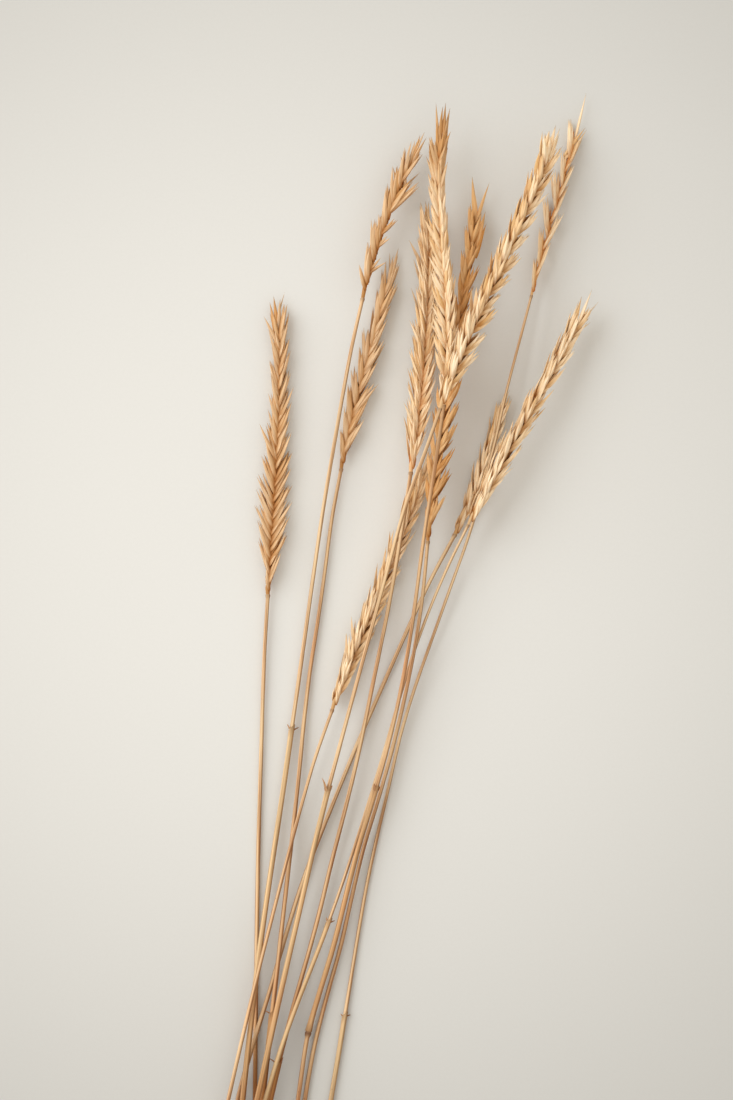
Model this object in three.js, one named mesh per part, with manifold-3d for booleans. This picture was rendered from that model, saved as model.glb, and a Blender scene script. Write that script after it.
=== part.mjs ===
import * as THREE from 'three';
import { mergeVertices } from 'three/addons/utils/BufferGeometryUtils.js';
import Module from 'manifold-3d';

// A loose bundle of eleven dried wheat stalks lying on a flat surface, in millimetres.
// +Y runs from the cut ends to the ears, +X is to the right seen from above, and +Z is up.
// Each stalk is a stem with its leaf sheath, and an ear of overlapping husks on the stem's end.

const wasm = await Module();
wasm.setup();

// How the stalks lie on each other
const SAMPLE = 2; // spacing of the points along a stalk where its height is worked out
const CLEARANCE = 0.9; // room kept over what is underneath
const LEAST_CLEARANCE = 0.7; // what the softening of the bends leaves of it
const SAG_PASSES = 1100; // how far a stalk droops between the things that hold it up
const SOFTEN_PASSES = 16; // rounds the bends where it goes over another stalk
const TOUCHING = 0.15; // what is nearer than this to the surface lies on it
const EAR_SINK = 0.8; // the lowest husks of an ear are pressed flat by its weight
const TIP_REACH = 0.75; // how far the topmost husks spread, as a share of the others

// Stems
const STEM_SIDES = 6; // one flat side faces down
const RING_SPACING = 19;
const KNOT_LENGTH = 3.2;
const KNOT_SWELL = 0.45; // how far a knot stands out from the stem
const SHEATH_WALL = 0.4; // how much a leaf sheath adds to the stem's radius
const MOUTH_LENGTH = 1.2;
const NECK_GAP = 0.3; // clear space between a stem's end and its ear
const STUB_LENGTH = 4.5; // torn leaf base left at a sheath's mouth
const STUB_ANGLE = 24;

// Ears
const CORE_SIDES = 5;
const CORE_RING_SPACING = 24;
const NECK_SWELL = 4; // distance over which the core grows from the neck
const HUSK_WIDTH = 3;
const HUSK_DEPTH = 1.9;
const HUSK_BELLY = 0.38; // place of the widest section, as a share of the length
const HUSK_ROOT = 0.55; // width of the root, as a share of the widest section
const HUSKS_ACROSS = [-1, 1]; // a spikelet is a pair of husks, one on each side of its row
const FIRST_SPIKELET = 1.5; // from the neck
const FIRST_HUSK = 0.62; // length of the lowest husks, as a share of the full length
const HUSK_GROWTH = 0.13; // what each spikelet up from the neck adds to that share
const SMALLEST_DETAIL = 0.04; // corners nearer than this to a face are left out

// The stalks in the order in which they are laid, the lowest first. A path runs from the cut
// end to the neck and on to the tip of the ear, as seen from above. mouth and knot are the
// places along Y where a leaf sheath ends and starts, and knots are bare knots. An ear has
// spikelets in two rows: lean and fan are angles from the axis, away from it and across the
// row, and roll turns the rows about the axis, with 0 for rows to the left and right.
const STALKS = [
  {
    name: 'far_left',
    stem: [[-50, -238], [-49.4, -144], [-48.4, -61], [-46.9, -8], [-45.9, 24], [-44.4, 48]],
    ear: [[-42.6, 60.5], [-40.1, 83], [-38.9, 102], [-38.9, 123], [-39.2, 152], [-38.6, 161]],
    radii: [1.05, 0.8],
    knots: [-190],
    head: { count: 25, husk: 14.5, lean: [24, 11], fan: 8, roll: 8, core: 1.3 },
  },
  {
    name: 'right_under',
    stem: [[-73, -232], [-56, -144], [-45.5, -109], [-33, -66], [-21.5, -36], [-10.5, -9],
      [3.5, 23], [17, 53], [28, 73]],
    ear: [[32.5, 84], [36.5, 93.5], [40.5, 103], [44.5, 113.5], [48, 125]],
    radii: [1.1, 0.8],
    knots: [-186],
    head: { count: 11, husk: 14.5, lean: [18, 11], fan: 10, roll: 25, core: 1.1 },
  },
  {
    name: 'left_inner',
    stem: [[-56, -232], [-46.5, -144], [-42.5, -109], [-38, -68], [-33.5, -29], [-29.5, 12],
      [-24.2, 46], [-19.7, 81], [-16.5, 96]],
    ear: [[-11.8, 116], [-8, 131], [-4.6, 146], [-1.3, 158], [2, 169], [5, 178]],
    radii: [1.15, 0.75],
    mouth: -111,
    knot: -196,
    head: { count: 14, husk: 16, lean: [18, 12], fan: 9, roll: 12, core: 1.1 },
  },
  {
    name: 'left_outer',
    stem: [[-63, -236], [-54, -144], [-47, -83], [-39, -29], [-32.5, 17], [-24, 77], [-17.3, 116],
      [-13.7, 137], [-8, 162]],
    ear: [[-4.2, 175], [-0.4, 187], [4.6, 199], [10, 211], [15.8, 222]],
    radii: [1.1, 0.75],
    mouth: -3,
    knot: -178,
    head: { count: 11, husk: 14.5, lean: [22, 10], fan: 9, roll: 5, core: 0.9 },
  },
  {
    name: 'low',
    stem: [[-80, -238], [-59.5, -144], [-47.5, -93], [-33.8, -40], [-26.6, -14], [-20, 4]],
    ear: [[-12.2, 25], [-3.6, 46], [5.5, 68], [12.5, 88], [17.3, 104]],
    radii: [1.0, 0.7],
    knots: [-182],
    head: { count: 22, husk: 14.5, lean: [18, 12], fan: 10, roll: 25, core: 1.3 },
  },
  {
    name: 'slim_right',
    stem: [[-35.5, -234], [-20.5, -144], [-15.1, -112], [-10.9, -85], [-6.1, -58], [1.5, -25],
      [7.5, 1], [16.5, 27], [25, 51], [33.2, 74], [41.5, 104], [46.8, 129], [50.8, 143],
      [55.8, 162]],
    ear: [[60.3, 177], [63.6, 190], [67.2, 202], [69.8, 212], [72.4, 222.5], [75.6, 238]],
    radii: [0.95, 0.55],
    mouth: -112,
    knot: -200,
    head: { count: 12, husk: 14.5, lean: [15, 10], fan: 5, roll: 10, core: 0.8 },
  },
  {
    name: 'middle_left',
    stem: [[-65.5, -238], [-43.5, -144], [-35, -109], [-26.5, -80], [-23, -64], [-18.8, -48],
      [-11, -17], [-4, 17], [2, 46], [5.5, 67], [9, 87], [10, 96]],
    ear: [[10.7, 109], [12.5, 128], [15.2, 150], [16.8, 168], [16.6, 182], [15.5, 198]],
    radii: [1.1, 0.8],
    mouth: -130,
    knot: -205,
    head: { count: 23, husk: 14.5, lean: [20, 13], fan: 11, roll: 30, core: 1.3 },
  },
  {
    name: 'right',
    stem: [[-70, -236], [-45.5, -144], [-35, -112], [-21, -76], [-11.5, -48], [0, -11],
      [9.5, 22], [19.5, 49], [27, 65], [32.5, 76]],
    ear: [[41.4, 92], [49, 106], [58, 123.5], [67.5, 141.5], [75, 153], [80.5, 161.5]],
    radii: [0.85, 0.6],
    mouth: -76,
    knot: -188,
    head: { count: 23, husk: 14.5, lean: [19, 12], fan: 10, roll: 25, core: 1.3 },
  },
  {
    name: 'middle_brown',
    stem: [[-42, -238], [-30.5, -144], [-24, -112], [-16, -83], [-9.5, -53], [-1, -25], [6.5, 4],
      [12.5, 34], [15.5, 57], [16, 66]],
    ear: [[17, 78], [18.5, 91], [21, 106], [23, 122], [25.5, 139], [28.2, 157], [30.8, 171],
      [34.4, 190], [36.5, 205]],
    radii: [1.05, 0.75],
    knots: [-170],
    head: { count: 23, husk: 15.5, lean: [15, 13], fan: 10, roll: 30, core: 1.2 },
  },
  {
    name: 'middle_tall',
    stem: [[-46.5, -235], [-33, -144], [-29.5, -119], [-20, -88], [-11.5, -53], [-3, -25],
      [4.5, 4], [10, 34], [13.5, 61], [16, 78], [19, 97], [21.5, 112], [22.5, 122]],
    ear: [[23.4, 137], [23.4, 152], [22.6, 169], [21.4, 184], [20.2, 198], [20.1, 211], [21.8, 223],
      [24.2, 233.5]],
    radii: [1.05, 0.75],
    mouth: -26,
    knot: -119,
    head: { count: 23, husk: 14.5, lean: [16, 12], fan: 10, roll: 25, core: 1.2 },
  },
  {
    name: 'diagonal',
    stem: [[-69, -234], [-48.5, -144], [-41.5, -112], [-31.5, -68], [-25.5, -42], [-17, -9],
      [-7, 28], [2.5, 63], [9, 86], [17, 106], [21.5, 120]],
    ear: [[27.8, 134], [35.6, 152], [45.9, 173.5], [55.7, 196.5], [62.5, 211], [66.4, 225]],
    radii: [1.1, 0.75],
    mouth: -26,
    knot: -192,
    head: { count: 25, husk: 14.5, lean: [21, 13], fan: 12, roll: 25, core: 1.3 },
  },
];

// Random draws from a fixed seed, so the bundle is the same each time.
function seededRandom(seed) {
  let state = seed;
  return () => {
    state = (state * 1664525 + 1013904223) % 4294967296;
    return state / 4294967296;
  };
}

const radians = THREE.MathUtils.degToRad;
const mix = THREE.MathUtils.lerp;

// The closest that a stem may come to the surface: its flat lower side then lies on it.
const flatHeight = (radius) => radius * Math.cos(Math.PI / STEM_SIDES);

// Steps ---------------------------------------------------------------------------------------

// Points along the stalk seen from above, at equal spacing, with the index of the neck.
function tracePath(stalk) {
  const corners = [...stalk.stem, ...stalk.ear].map(([x, y]) => new THREE.Vector2(x, y));
  const path = new THREE.SplineCurve(corners);
  const length = path.getLength();
  const points = path.getSpacedPoints(Math.round(length / SAMPLE));
  const neck = new THREE.Vector2(...stalk.stem.at(-1));
  const distances = points.map((point) => point.distanceTo(neck));
  return { points, step: length / (points.length - 1), neck: distances.indexOf(Math.min(...distances)) };
}

// The stem's radius at a place along Y, with its sheath and knots.
function stemRadius(stalk, y) {
  const [foot, neck] = stalk.radii;
  const [start, end] = [stalk.stem[0][1], stalk.stem.at(-1)[1]];
  const bare = mix(foot, neck, (y - start) / (end - start));
  return y > (stalk.knot ?? Infinity) && y < stalk.mouth ? bare + SHEATH_WALL : bare;
}

// How far the husks lean out, at a share of the ear's length: closer to the axis near the tip.
const leanAt = ([low, high], share) => mix(low, high, THREE.MathUtils.smoothstep(share, 0.2, 0.85));

// How far the husks reach to the sides and up from the ear's axis, at a distance from the neck.
function earReach({ husk, lean, fan, roll, core }, distance, length) {
  const share = THREE.MathUtils.clamp(distance / length, 0, 1);
  const husks = Math.min(distance, husk) * Math.min(1, TIP_REACH + (length - distance) / husk);
  const [alongRow, acrossRow] = [leanAt(lean, share), fan].map(
    (angle) => core + husks * Math.sin(radians(angle)),
  );
  const [cos, sin] = [Math.cos(radians(roll)), Math.sin(radians(roll))];
  return [Math.hypot(alongRow * cos, acrossRow * sin), Math.hypot(alongRow * sin, acrossRow * cos)];
}

// The lowest that each point of a stalk may lie, over the surface and over the stalks below.
function lowestHeights(points, reach, laid, clearance) {
  return points.map((point, i) => {
    const [wide, high, resting] = reach[i];
    let height = resting;
    for (const other of laid)
      other.points.forEach((under, j) => {
        const [otherWide, otherHigh] = other.reach[j];
        const near = Math.hypot(point.x - under.x, point.y - under.y) / (wide + otherWide + clearance);
        if (near >= 1) return;
        const over = (high + otherHigh + clearance) * Math.sqrt(1 - near ** 2);
        height = Math.max(height, under.z + over);
      });
    return height;
  });
}

// Lays a stalk over the ones below it: it is held up by the surface and by what it crosses,
// droops in between, and its bends are softened.
function layStalk(stalk, laid) {
  const { points, step, neck } = tracePath(stalk);
  const knots = [stalk.knot, ...(stalk.knots ?? [])];
  const last = points.length - 1;
  const reach = points.map((point, i) => {
    if (i > neck) {
      const [wide, high] = earReach(stalk.head, (i - neck) * step, (last - neck) * step);
      return [wide, high, high * EAR_SINK];
    }
    const nearKnot = knots.some((y) => Math.abs(point.y - y) < KNOT_LENGTH);
    const radius = stemRadius(stalk, point.y) + (nearKnot ? KNOT_SWELL : 0);
    return [radius, radius, flatHeight(radius)];
  });
  const lowest = lowestHeights(points, reach, laid, CLEARANCE);
  const least = lowestHeights(points, reach, laid, LEAST_CLEARANCE);
  const between = (heights, i) => (heights[Math.max(i - 1, 0)] + heights[Math.min(i + 1, last)]) / 2;
  let heights = lowest;
  for (let pass = 0; pass < SAG_PASSES; pass++)
    heights = heights.map((_, i) => Math.max(lowest[i], between(heights, i)));
  for (let pass = 0; pass < SOFTEN_PASSES; pass++)
    heights = heights.map((height, i) => (height + between(heights, i)) / 2);
  heights = heights.map((height, i) => Math.max(height, least[i]));
  return {
    ...stalk,
    neck,
    reach,
    points: points.map((point, i) => new THREE.Vector3(point.x, point.y, heights[i])),
  };
}

// Bends a straight shape that runs along +Y, with +Z up, onto the stalk. What would touch the
// surface or go under it is pressed flat on it.
function bendOnto(geometry, line, start) {
  const position = geometry.getAttribute('position');
  const up = new THREE.Vector3(0, 0, 1);
  for (let i = 0; i < position.count; i++) {
    const share = THREE.MathUtils.clamp((start + position.getY(i)) / line.length, 0, 1);
    const beyond = start + position.getY(i) - share * line.length;
    const forward = line.curve.getTangentAt(share);
    const right = new THREE.Vector3().crossVectors(forward, up).normalize();
    const top = new THREE.Vector3().crossVectors(right, forward);
    const place = line.curve
      .getPointAt(share)
      .addScaledVector(forward, beyond)
      .addScaledVector(right, position.getX(i))
      .addScaledVector(top, position.getZ(i));
    position.setXYZ(i, place.x, place.y, place.z < TOUCHING ? 0 : place.z);
  }
  return geometry;
}

// manifold-3d solids ----------------------------------------------------------------------------

function toSolid(geometry) {
  geometry.deleteAttribute('normal');
  geometry.deleteAttribute('uv');
  const merged = mergeVertices(geometry, 1e-4);
  return new wasm.Manifold(
    new wasm.Mesh({
      numProp: 3,
      vertProperties: merged.getAttribute('position').array,
      triVerts: new Uint32Array(merged.index.array),
    }),
  );
}

function toGeometry(solid) {
  const mesh = solid.getMesh();
  const geometry = new THREE.BufferGeometry();
  geometry.setAttribute('position', new THREE.BufferAttribute(mesh.vertProperties, 3));
  geometry.setIndex(new THREE.BufferAttribute(mesh.triVerts, 1));
  geometry.computeVertexNormals();
  return geometry;
}

// Fuses shapes into one solid. The small hollows that husks close off between them are filled.
function fuse(geometries) {
  const all = geometries.map(toSolid).reduce((sum, next) => sum.add(next));
  const outer = all.decompose().reduce((a, b) => (b.volume() > a.volume() ? b : a));
  return toGeometry(outer.asOriginal().simplify(SMALLEST_DETAIL));
}

// Shapes ------------------------------------------------------------------------------------------

// A rod turned round +Y from its outline of [radius, place] pairs, closed at both ends.
function turnedRod(outline, sides) {
  const first = outline[0][1];
  const last = outline.at(-1)[1];
  const profile = [[0, first], ...outline, [0, last]].map(([r, y]) => new THREE.Vector2(r, y));
  return new THREE.LatheGeometry(profile, sides, Math.PI / sides);
}

// A keeled husk from a root, along a direction, with its keel towards outward.
function huskShape(root, direction, outward, length, size) {
  const outline = [
    [HUSK_ROOT, 0],
    [1, length * HUSK_BELLY],
  ].map(([r, y]) => new THREE.Vector2(r, y));
  const profile = [new THREE.Vector2(0, 0), ...outline, new THREE.Vector2(0, length)];
  const geometry = new THREE.LatheGeometry(profile, 3);
  geometry.scale((HUSK_WIDTH / Math.sqrt(3)) * size, 1, (HUSK_DEPTH / 1.5) * size);
  const side = new THREE.Vector3().crossVectors(direction, outward).normalize();
  const keel = new THREE.Vector3().crossVectors(side, direction);
  geometry.applyMatrix4(new THREE.Matrix4().makeBasis(side, direction, keel).setPosition(root));
  return geometry;
}

// The rings of a stem: at even spacing, with more at each knot and at the sheath's mouth.
function stemOutline(stalk, line) {
  const atY = (y) => line.lengths[line.points.findIndex((point) => point.y >= y)];
  const radiusAt = (s) => stemRadius(stalk, line.curve.getPointAt(s / line.length).y);
  const end = line.neck - NECK_GAP / 2;
  const special = [];
  for (const y of [stalk.knot, ...(stalk.knots ?? [])]) {
    if (y === undefined) continue;
    const [below, above] = [y - KNOT_LENGTH, y + KNOT_LENGTH].map((end) => stemRadius(stalk, end));
    special.push([below, atY(y) - KNOT_LENGTH / 2], [below + KNOT_SWELL, atY(y)]);
    special.push([above, atY(y) + KNOT_LENGTH / 2]);
  }
  if (stalk.mouth !== undefined) {
    const [inside, outside] = [-MOUTH_LENGTH, MOUTH_LENGTH].map((off) => stemRadius(stalk, stalk.mouth + off));
    special.push([inside, atY(stalk.mouth) - MOUTH_LENGTH / 2]);
    special.push([outside, atY(stalk.mouth) + MOUTH_LENGTH / 2]);
  }
  const count = Math.round(end / RING_SPACING);
  const even = Array.from({ length: count + 1 }, (_, i) => (end * i) / count)
    .filter((s) => special.every(([, place]) => Math.abs(place - s) > RING_SPACING / 3))
    .map((s) => [radiusAt(s), s]);
  return [...even, ...special].sort((a, b) => a[1] - b[1]);
}

// A torn leaf base at the mouth of the sheath, turned away to one side.
function leafStub(stalk, line) {
  const place = line.lengths[line.points.findIndex((point) => point.y >= stalk.mouth)];
  const radius = stemRadius(stalk, stalk.mouth - MOUTH_LENGTH);
  const lean = radians(STUB_ANGLE);
  const direction = new THREE.Vector3(-Math.sin(lean), Math.cos(lean), 0.2).normalize();
  const root = new THREE.Vector3(-radius * 0.4, place - STUB_LENGTH / 2, radius * 0.2);
  return huskShape(root, direction, new THREE.Vector3(-1, 0, 0), STUB_LENGTH * 1.4, 0.6);
}

function stemGeometry(stalk, line) {
  const rod = turnedRod(stemOutline(stalk, line), STEM_SIDES);
  if (stalk.mouth === undefined) return fuse([bendOnto(rod, line, 0)]);
  return fuse([rod, leafStub(stalk, line)].map((shape) => bendOnto(shape, line, 0)));
}

// The core that the husks stand out of, from the neck to the topmost spikelet.
function coreGeometry({ core, husk }, radius, length) {
  const top = length - husk * 0.7;
  const count = Math.max(2, Math.round(top / CORE_RING_SPACING));
  const even = Array.from({ length: count }, (_, i) => {
    const share = (i + 1) / count;
    return [mix(core, core * 0.45, share ** 2), mix(NECK_SWELL, top, share)];
  });
  return turnedRod([[radius, 0], [core, NECK_SWELL], ...even], CORE_SIDES);
}

// An ear in the straight: spikelets in two rows on alternate sides, each a pair of husks.
function earGeometry(stalk, line, seed) {
  const random = seededRandom(seed);
  const vary = (amount) => 1 + (random() * 2 - 1) * amount;
  const { count, husk, lean, fan, roll, core } = stalk.head;
  const length = line.length - line.neck - NECK_GAP / 2;
  const row = new THREE.Vector3(Math.cos(radians(roll)), 0, Math.sin(radians(roll)));
  const across = new THREE.Vector3(-row.z, 0, row.x);
  const shapes = [coreGeometry(stalk.head, stalk.radii[1], length)];
  for (let i = 0; i < count; i++) {
    const share = i / (count - 1);
    const side = i % 2 ? 1 : -1;
    const place = mix(FIRST_SPIKELET, length - husk * 0.98, share);
    const out = Math.tan(radians(leanAt(lean, share) * vary(0.12)));
    const size = Math.min(1, FIRST_HUSK + HUSK_GROWTH * i);
    for (const f of HUSKS_ACROSS) {
      const direction = new THREE.Vector3(0, 1, 0)
        .addScaledVector(row, side * out)
        .addScaledVector(across, Math.tan(radians(fan)) * f)
        .normalize();
      const outward = new THREE.Vector3().addScaledVector(row, side).addScaledVector(across, f * 0.8);
      const root = new THREE.Vector3(0, place, 0).addScaledVector(outward, core * 0.3);
      shapes.push(huskShape(root, direction, outward, husk * size * vary(0.07), Math.sqrt(size)));
    }
  }
  return fuse(shapes.map((shape) => bendOnto(shape, line, line.neck + NECK_GAP / 2)));
}

// The stalk's middle line, with the distance of each point and of the neck from the cut end.
function middleLine(stalk) {
  const curve = new THREE.CatmullRomCurve3(stalk.points);
  curve.arcLengthDivisions = stalk.points.length * 10;
  const lengths = curve.getLengths().filter((_, i) => i % 10 === 0);
  return { curve, points: stalk.points, length: curve.getLength(), lengths, neck: lengths[stalk.neck] };
}

// Materials ---------------------------------------------------------------------------------------

const stemMaterial = new THREE.MeshStandardMaterial({ color: 0xcf9f66, roughness: 0.55, metalness: 0 });
const earMaterial = new THREE.MeshStandardMaterial({ color: 0xdcae76, roughness: 0.7, metalness: 0 });

function namedMesh(name, geometry, material) {
  const mesh = new THREE.Mesh(geometry, material);
  mesh.name = name;
  return mesh;
}

// The bundle --------------------------------------------------------------------------------------

const bundle = new THREE.Group();
const laid = [];
STALKS.forEach((stalk, i) => {
  const resting = layStalk(stalk, laid);
  laid.push(resting);
  const line = middleLine(resting);
  const pieces = new THREE.Group();
  pieces.add(namedMesh(`stem_${stalk.name}`, stemGeometry(resting, line), stemMaterial));
  pieces.add(namedMesh(`ear_${stalk.name}`, earGeometry(resting, line, i + 1), earMaterial));
  bundle.add(pieces);
});

// The origin is on the surface, under the middle of the bundle's box.
const middle = new THREE.Box3().setFromObject(bundle).getCenter(new THREE.Vector3());
bundle.position.set(-middle.x, -middle.y, 0);

export default bundle;
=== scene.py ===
"""A loose bundle of eleven dried wheat stalks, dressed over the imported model's solids.

Lengths are in metres, +Y runs from the cut ends to the ears, +X is to the right seen from above
and +Z is up. Each stalk's middle line is read from its two solids. Its pieces are modelled in the
straight along +X, with +Y to their left and +Z up, and then bent onto that line.
"""

import math
import random

import bmesh
import bpy
import numpy as np
from mathutils import Matrix, Vector


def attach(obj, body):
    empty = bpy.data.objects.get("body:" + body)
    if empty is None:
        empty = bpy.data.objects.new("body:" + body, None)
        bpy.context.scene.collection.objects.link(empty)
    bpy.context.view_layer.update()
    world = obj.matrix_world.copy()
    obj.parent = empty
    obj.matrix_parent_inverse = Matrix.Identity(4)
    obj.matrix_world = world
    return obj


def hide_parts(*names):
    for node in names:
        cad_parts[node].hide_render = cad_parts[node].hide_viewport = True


bl_info = {
    "name": "Dried wheat bundle",
    "version": (1, 0, 0),
    "blender": (4, 5, 0),
    "location": "3D View > Sidebar > Wheat",
    "description": "Straws, leaf sheaths and ears of husks over a packed bundle of stalks",
    "category": "Object",
}

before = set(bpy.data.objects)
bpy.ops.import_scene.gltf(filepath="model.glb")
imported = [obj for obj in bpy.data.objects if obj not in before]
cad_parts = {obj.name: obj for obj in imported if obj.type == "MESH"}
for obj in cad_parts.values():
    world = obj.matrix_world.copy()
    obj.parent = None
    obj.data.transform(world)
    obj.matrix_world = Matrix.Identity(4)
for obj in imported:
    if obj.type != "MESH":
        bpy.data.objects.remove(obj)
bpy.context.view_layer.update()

MM = 0.001

# Middle lines
SECTION_SPACING = 2.5 * MM
END_MARGIN = 0.6 * MM  # the first and last sections are this far inside a solid
EAR_TIP_LEFT_OUT = 14 * MM  # the topmost husks say nothing about the ear's middle
STEM_SMOOTHING = 8  # passes
NECK_SLOPE_OVER, TIP_SLOPE_OVER = 4, 3  # sections
CORE_HEXAGON = 3 * math.sqrt(3) / 2  # area of a hexagon over its radius squared
SLIMMER = 0.88  # the straws' radius as a share of their solids'
RADIUS_READ_IN = 8 * MM  # it is read this far in from both ends

# What the stalks have in common unless their own features say otherwise.
USUAL = dict(
    raised=0, tone=0.06, foot=0, ripe=(0, 0), neat=False, spread=(1, 1), husks=8, wide=0.9,
    inner=1.8, first=0.85, crown=2,
)

# Each stalk's own features. knot and mouth are places along Y, in millimetres, where the straw has
# its knot and where a leaf sheath that starts there ends. raised is how far the ear's foot is above
# the end of the stem's solid, in millimetres. tone is how brown the straw is, and foot what its
# lower part adds to that. finish is the colour of the husks, and ripe how golden brown they are at
# the ear's foot and tip.
# An ear has spikelets in two rows, and those of a neat ear lie close to its axis. spacing is the
# distance between them and husk the husks' length, in millimetres. lean is the husks' angle from
# the axis at the ear's foot and tip, spread what the left and right rows make of that, and fan
# their angle across the row. roll turns the rows about the axis, with 0 for rows to the left and
# right. husks is their number in each spikelet, wide their width as a share of the usual one, and
# inner that of the husk behind them. first is the size of the lowest spikelet, and crown how far
# the last husk stays below the tip, in millimetres. tip is where the ear ends, and turn the way it
# points there, in degrees to the right of +Y.
STALKS = {
    "far_left": dict(
        knot=-189.4, finish="tan", raised=2.5, tone=0.1, foot=1.0,
        neat=True, spacing=3.0, husk=15.0, lean=(26, 14), fan=6, roll=2, husks=6,
        wide=0.95, first=0.72, tip=(-40.4, 160.5), turn=-2,
    ),
    "right_under": dict(
        knot=-185.4, finish="fair", foot=0.3,
        spacing=3.8, husk=14.0, lean=(17, 11), fan=8, roll=-25, husks=7,
        first=0.8, tip=(46.6, 126.3), turn=20,
    ),
    "left_inner": dict(
        mouth=-110.4, knot=-195.4, finish="tan", raised=1, tone=0.25, foot=0.8,
        neat=True, spacing=3.7, husk=15.5, lean=(20, 12), fan=5, roll=4, husks=7,
        wide=1.15, crown=5, tip=(4.4, 178.7), turn=14,
    ),
    "left_outer": dict(
        mouth=-2.4, knot=-177.4, finish="tan", tone=0.05, foot=0.6,
        neat=True, spacing=5.4, husk=16.5, fan=6, roll=5, wide=1.05, inner=0.8,
        tip=(14.3, 223.2), turn=24,
    ),
    "low": dict(
        knot=-181.4, finish="fair", raised=1.6, tone=0.2,
        spacing=3.5, husk=14.5, lean=(20, 13), fan=9, roll=-28,
        first=0.8, tip=(17.3, 103.5), turn=17,
    ),
    "slim_right": dict(
        mouth=-111.4, knot=-199.4, finish="pale", raised=1.2,
        neat=True, spacing=5.4, husk=15.5, lean=(17, 12), spread=(1.2, 0.85), fan=4,
        roll=5, husks=6, wide=0.78, inner=0.9, first=0.8, crown=11,
        tip=(75.9, 238.4), turn=12,
    ),
    "middle_left": dict(
        mouth=-129.4, knot=-204.4, finish="pale", tone=0.2, foot=1.0, ripe=(0, 0.3),
        spacing=3.0, husk=15.5, lean=(20, 17), fan=8, roll=-18,
        first=0.9, tip=(15.8, 197.7), turn=-1,
    ),
    "right": dict(
        mouth=-75.4, knot=-187.4, finish="fair",
        spacing=4.2, husk=15.0, lean=(19, 13), fan=9, roll=-35, husks=9, wide=0.95,
        crown=5, tip=(78.1, 163.1), turn=25,
    ),
    "middle_brown": dict(
        knot=-169.4, finish="brown", raised=4, tone=0.28,
        spacing=4.3, husk=14.5, lean=(17, 11), spread=(1.0, 1.5), fan=9, roll=10,
        wide=1.1, crown=8, tip=(35.2, 203.8), turn=6,
    ),
    "middle_tall": dict(
        mouth=-25.4, knot=-118.4, finish="pale", tone=0.4, ripe=(0.1, 1.0),
        spacing=3.1, husk=14.5, lean=(18, 12), spread=(1.45, 0.9), fan=8, roll=8, husks=9,
        wide=1.15, inner=2.2, crown=9, tip=(22.1, 233.8), turn=9,
    ),
    "diagonal": dict(
        mouth=-25.4, knot=-191.4, finish="fair", tone=0.1, foot=0.6,
        spacing=4.1, husk=14.0, lean=(19, 14), spread=(1.25, 1.5), fan=10, roll=-32,
        husks=9, wide=1.25, crown=3, tip=(64.8, 225.4), turn=17,
    ),
}
STALKS = {name: {**USUAL, **own} for name, own in STALKS.items()}

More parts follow.
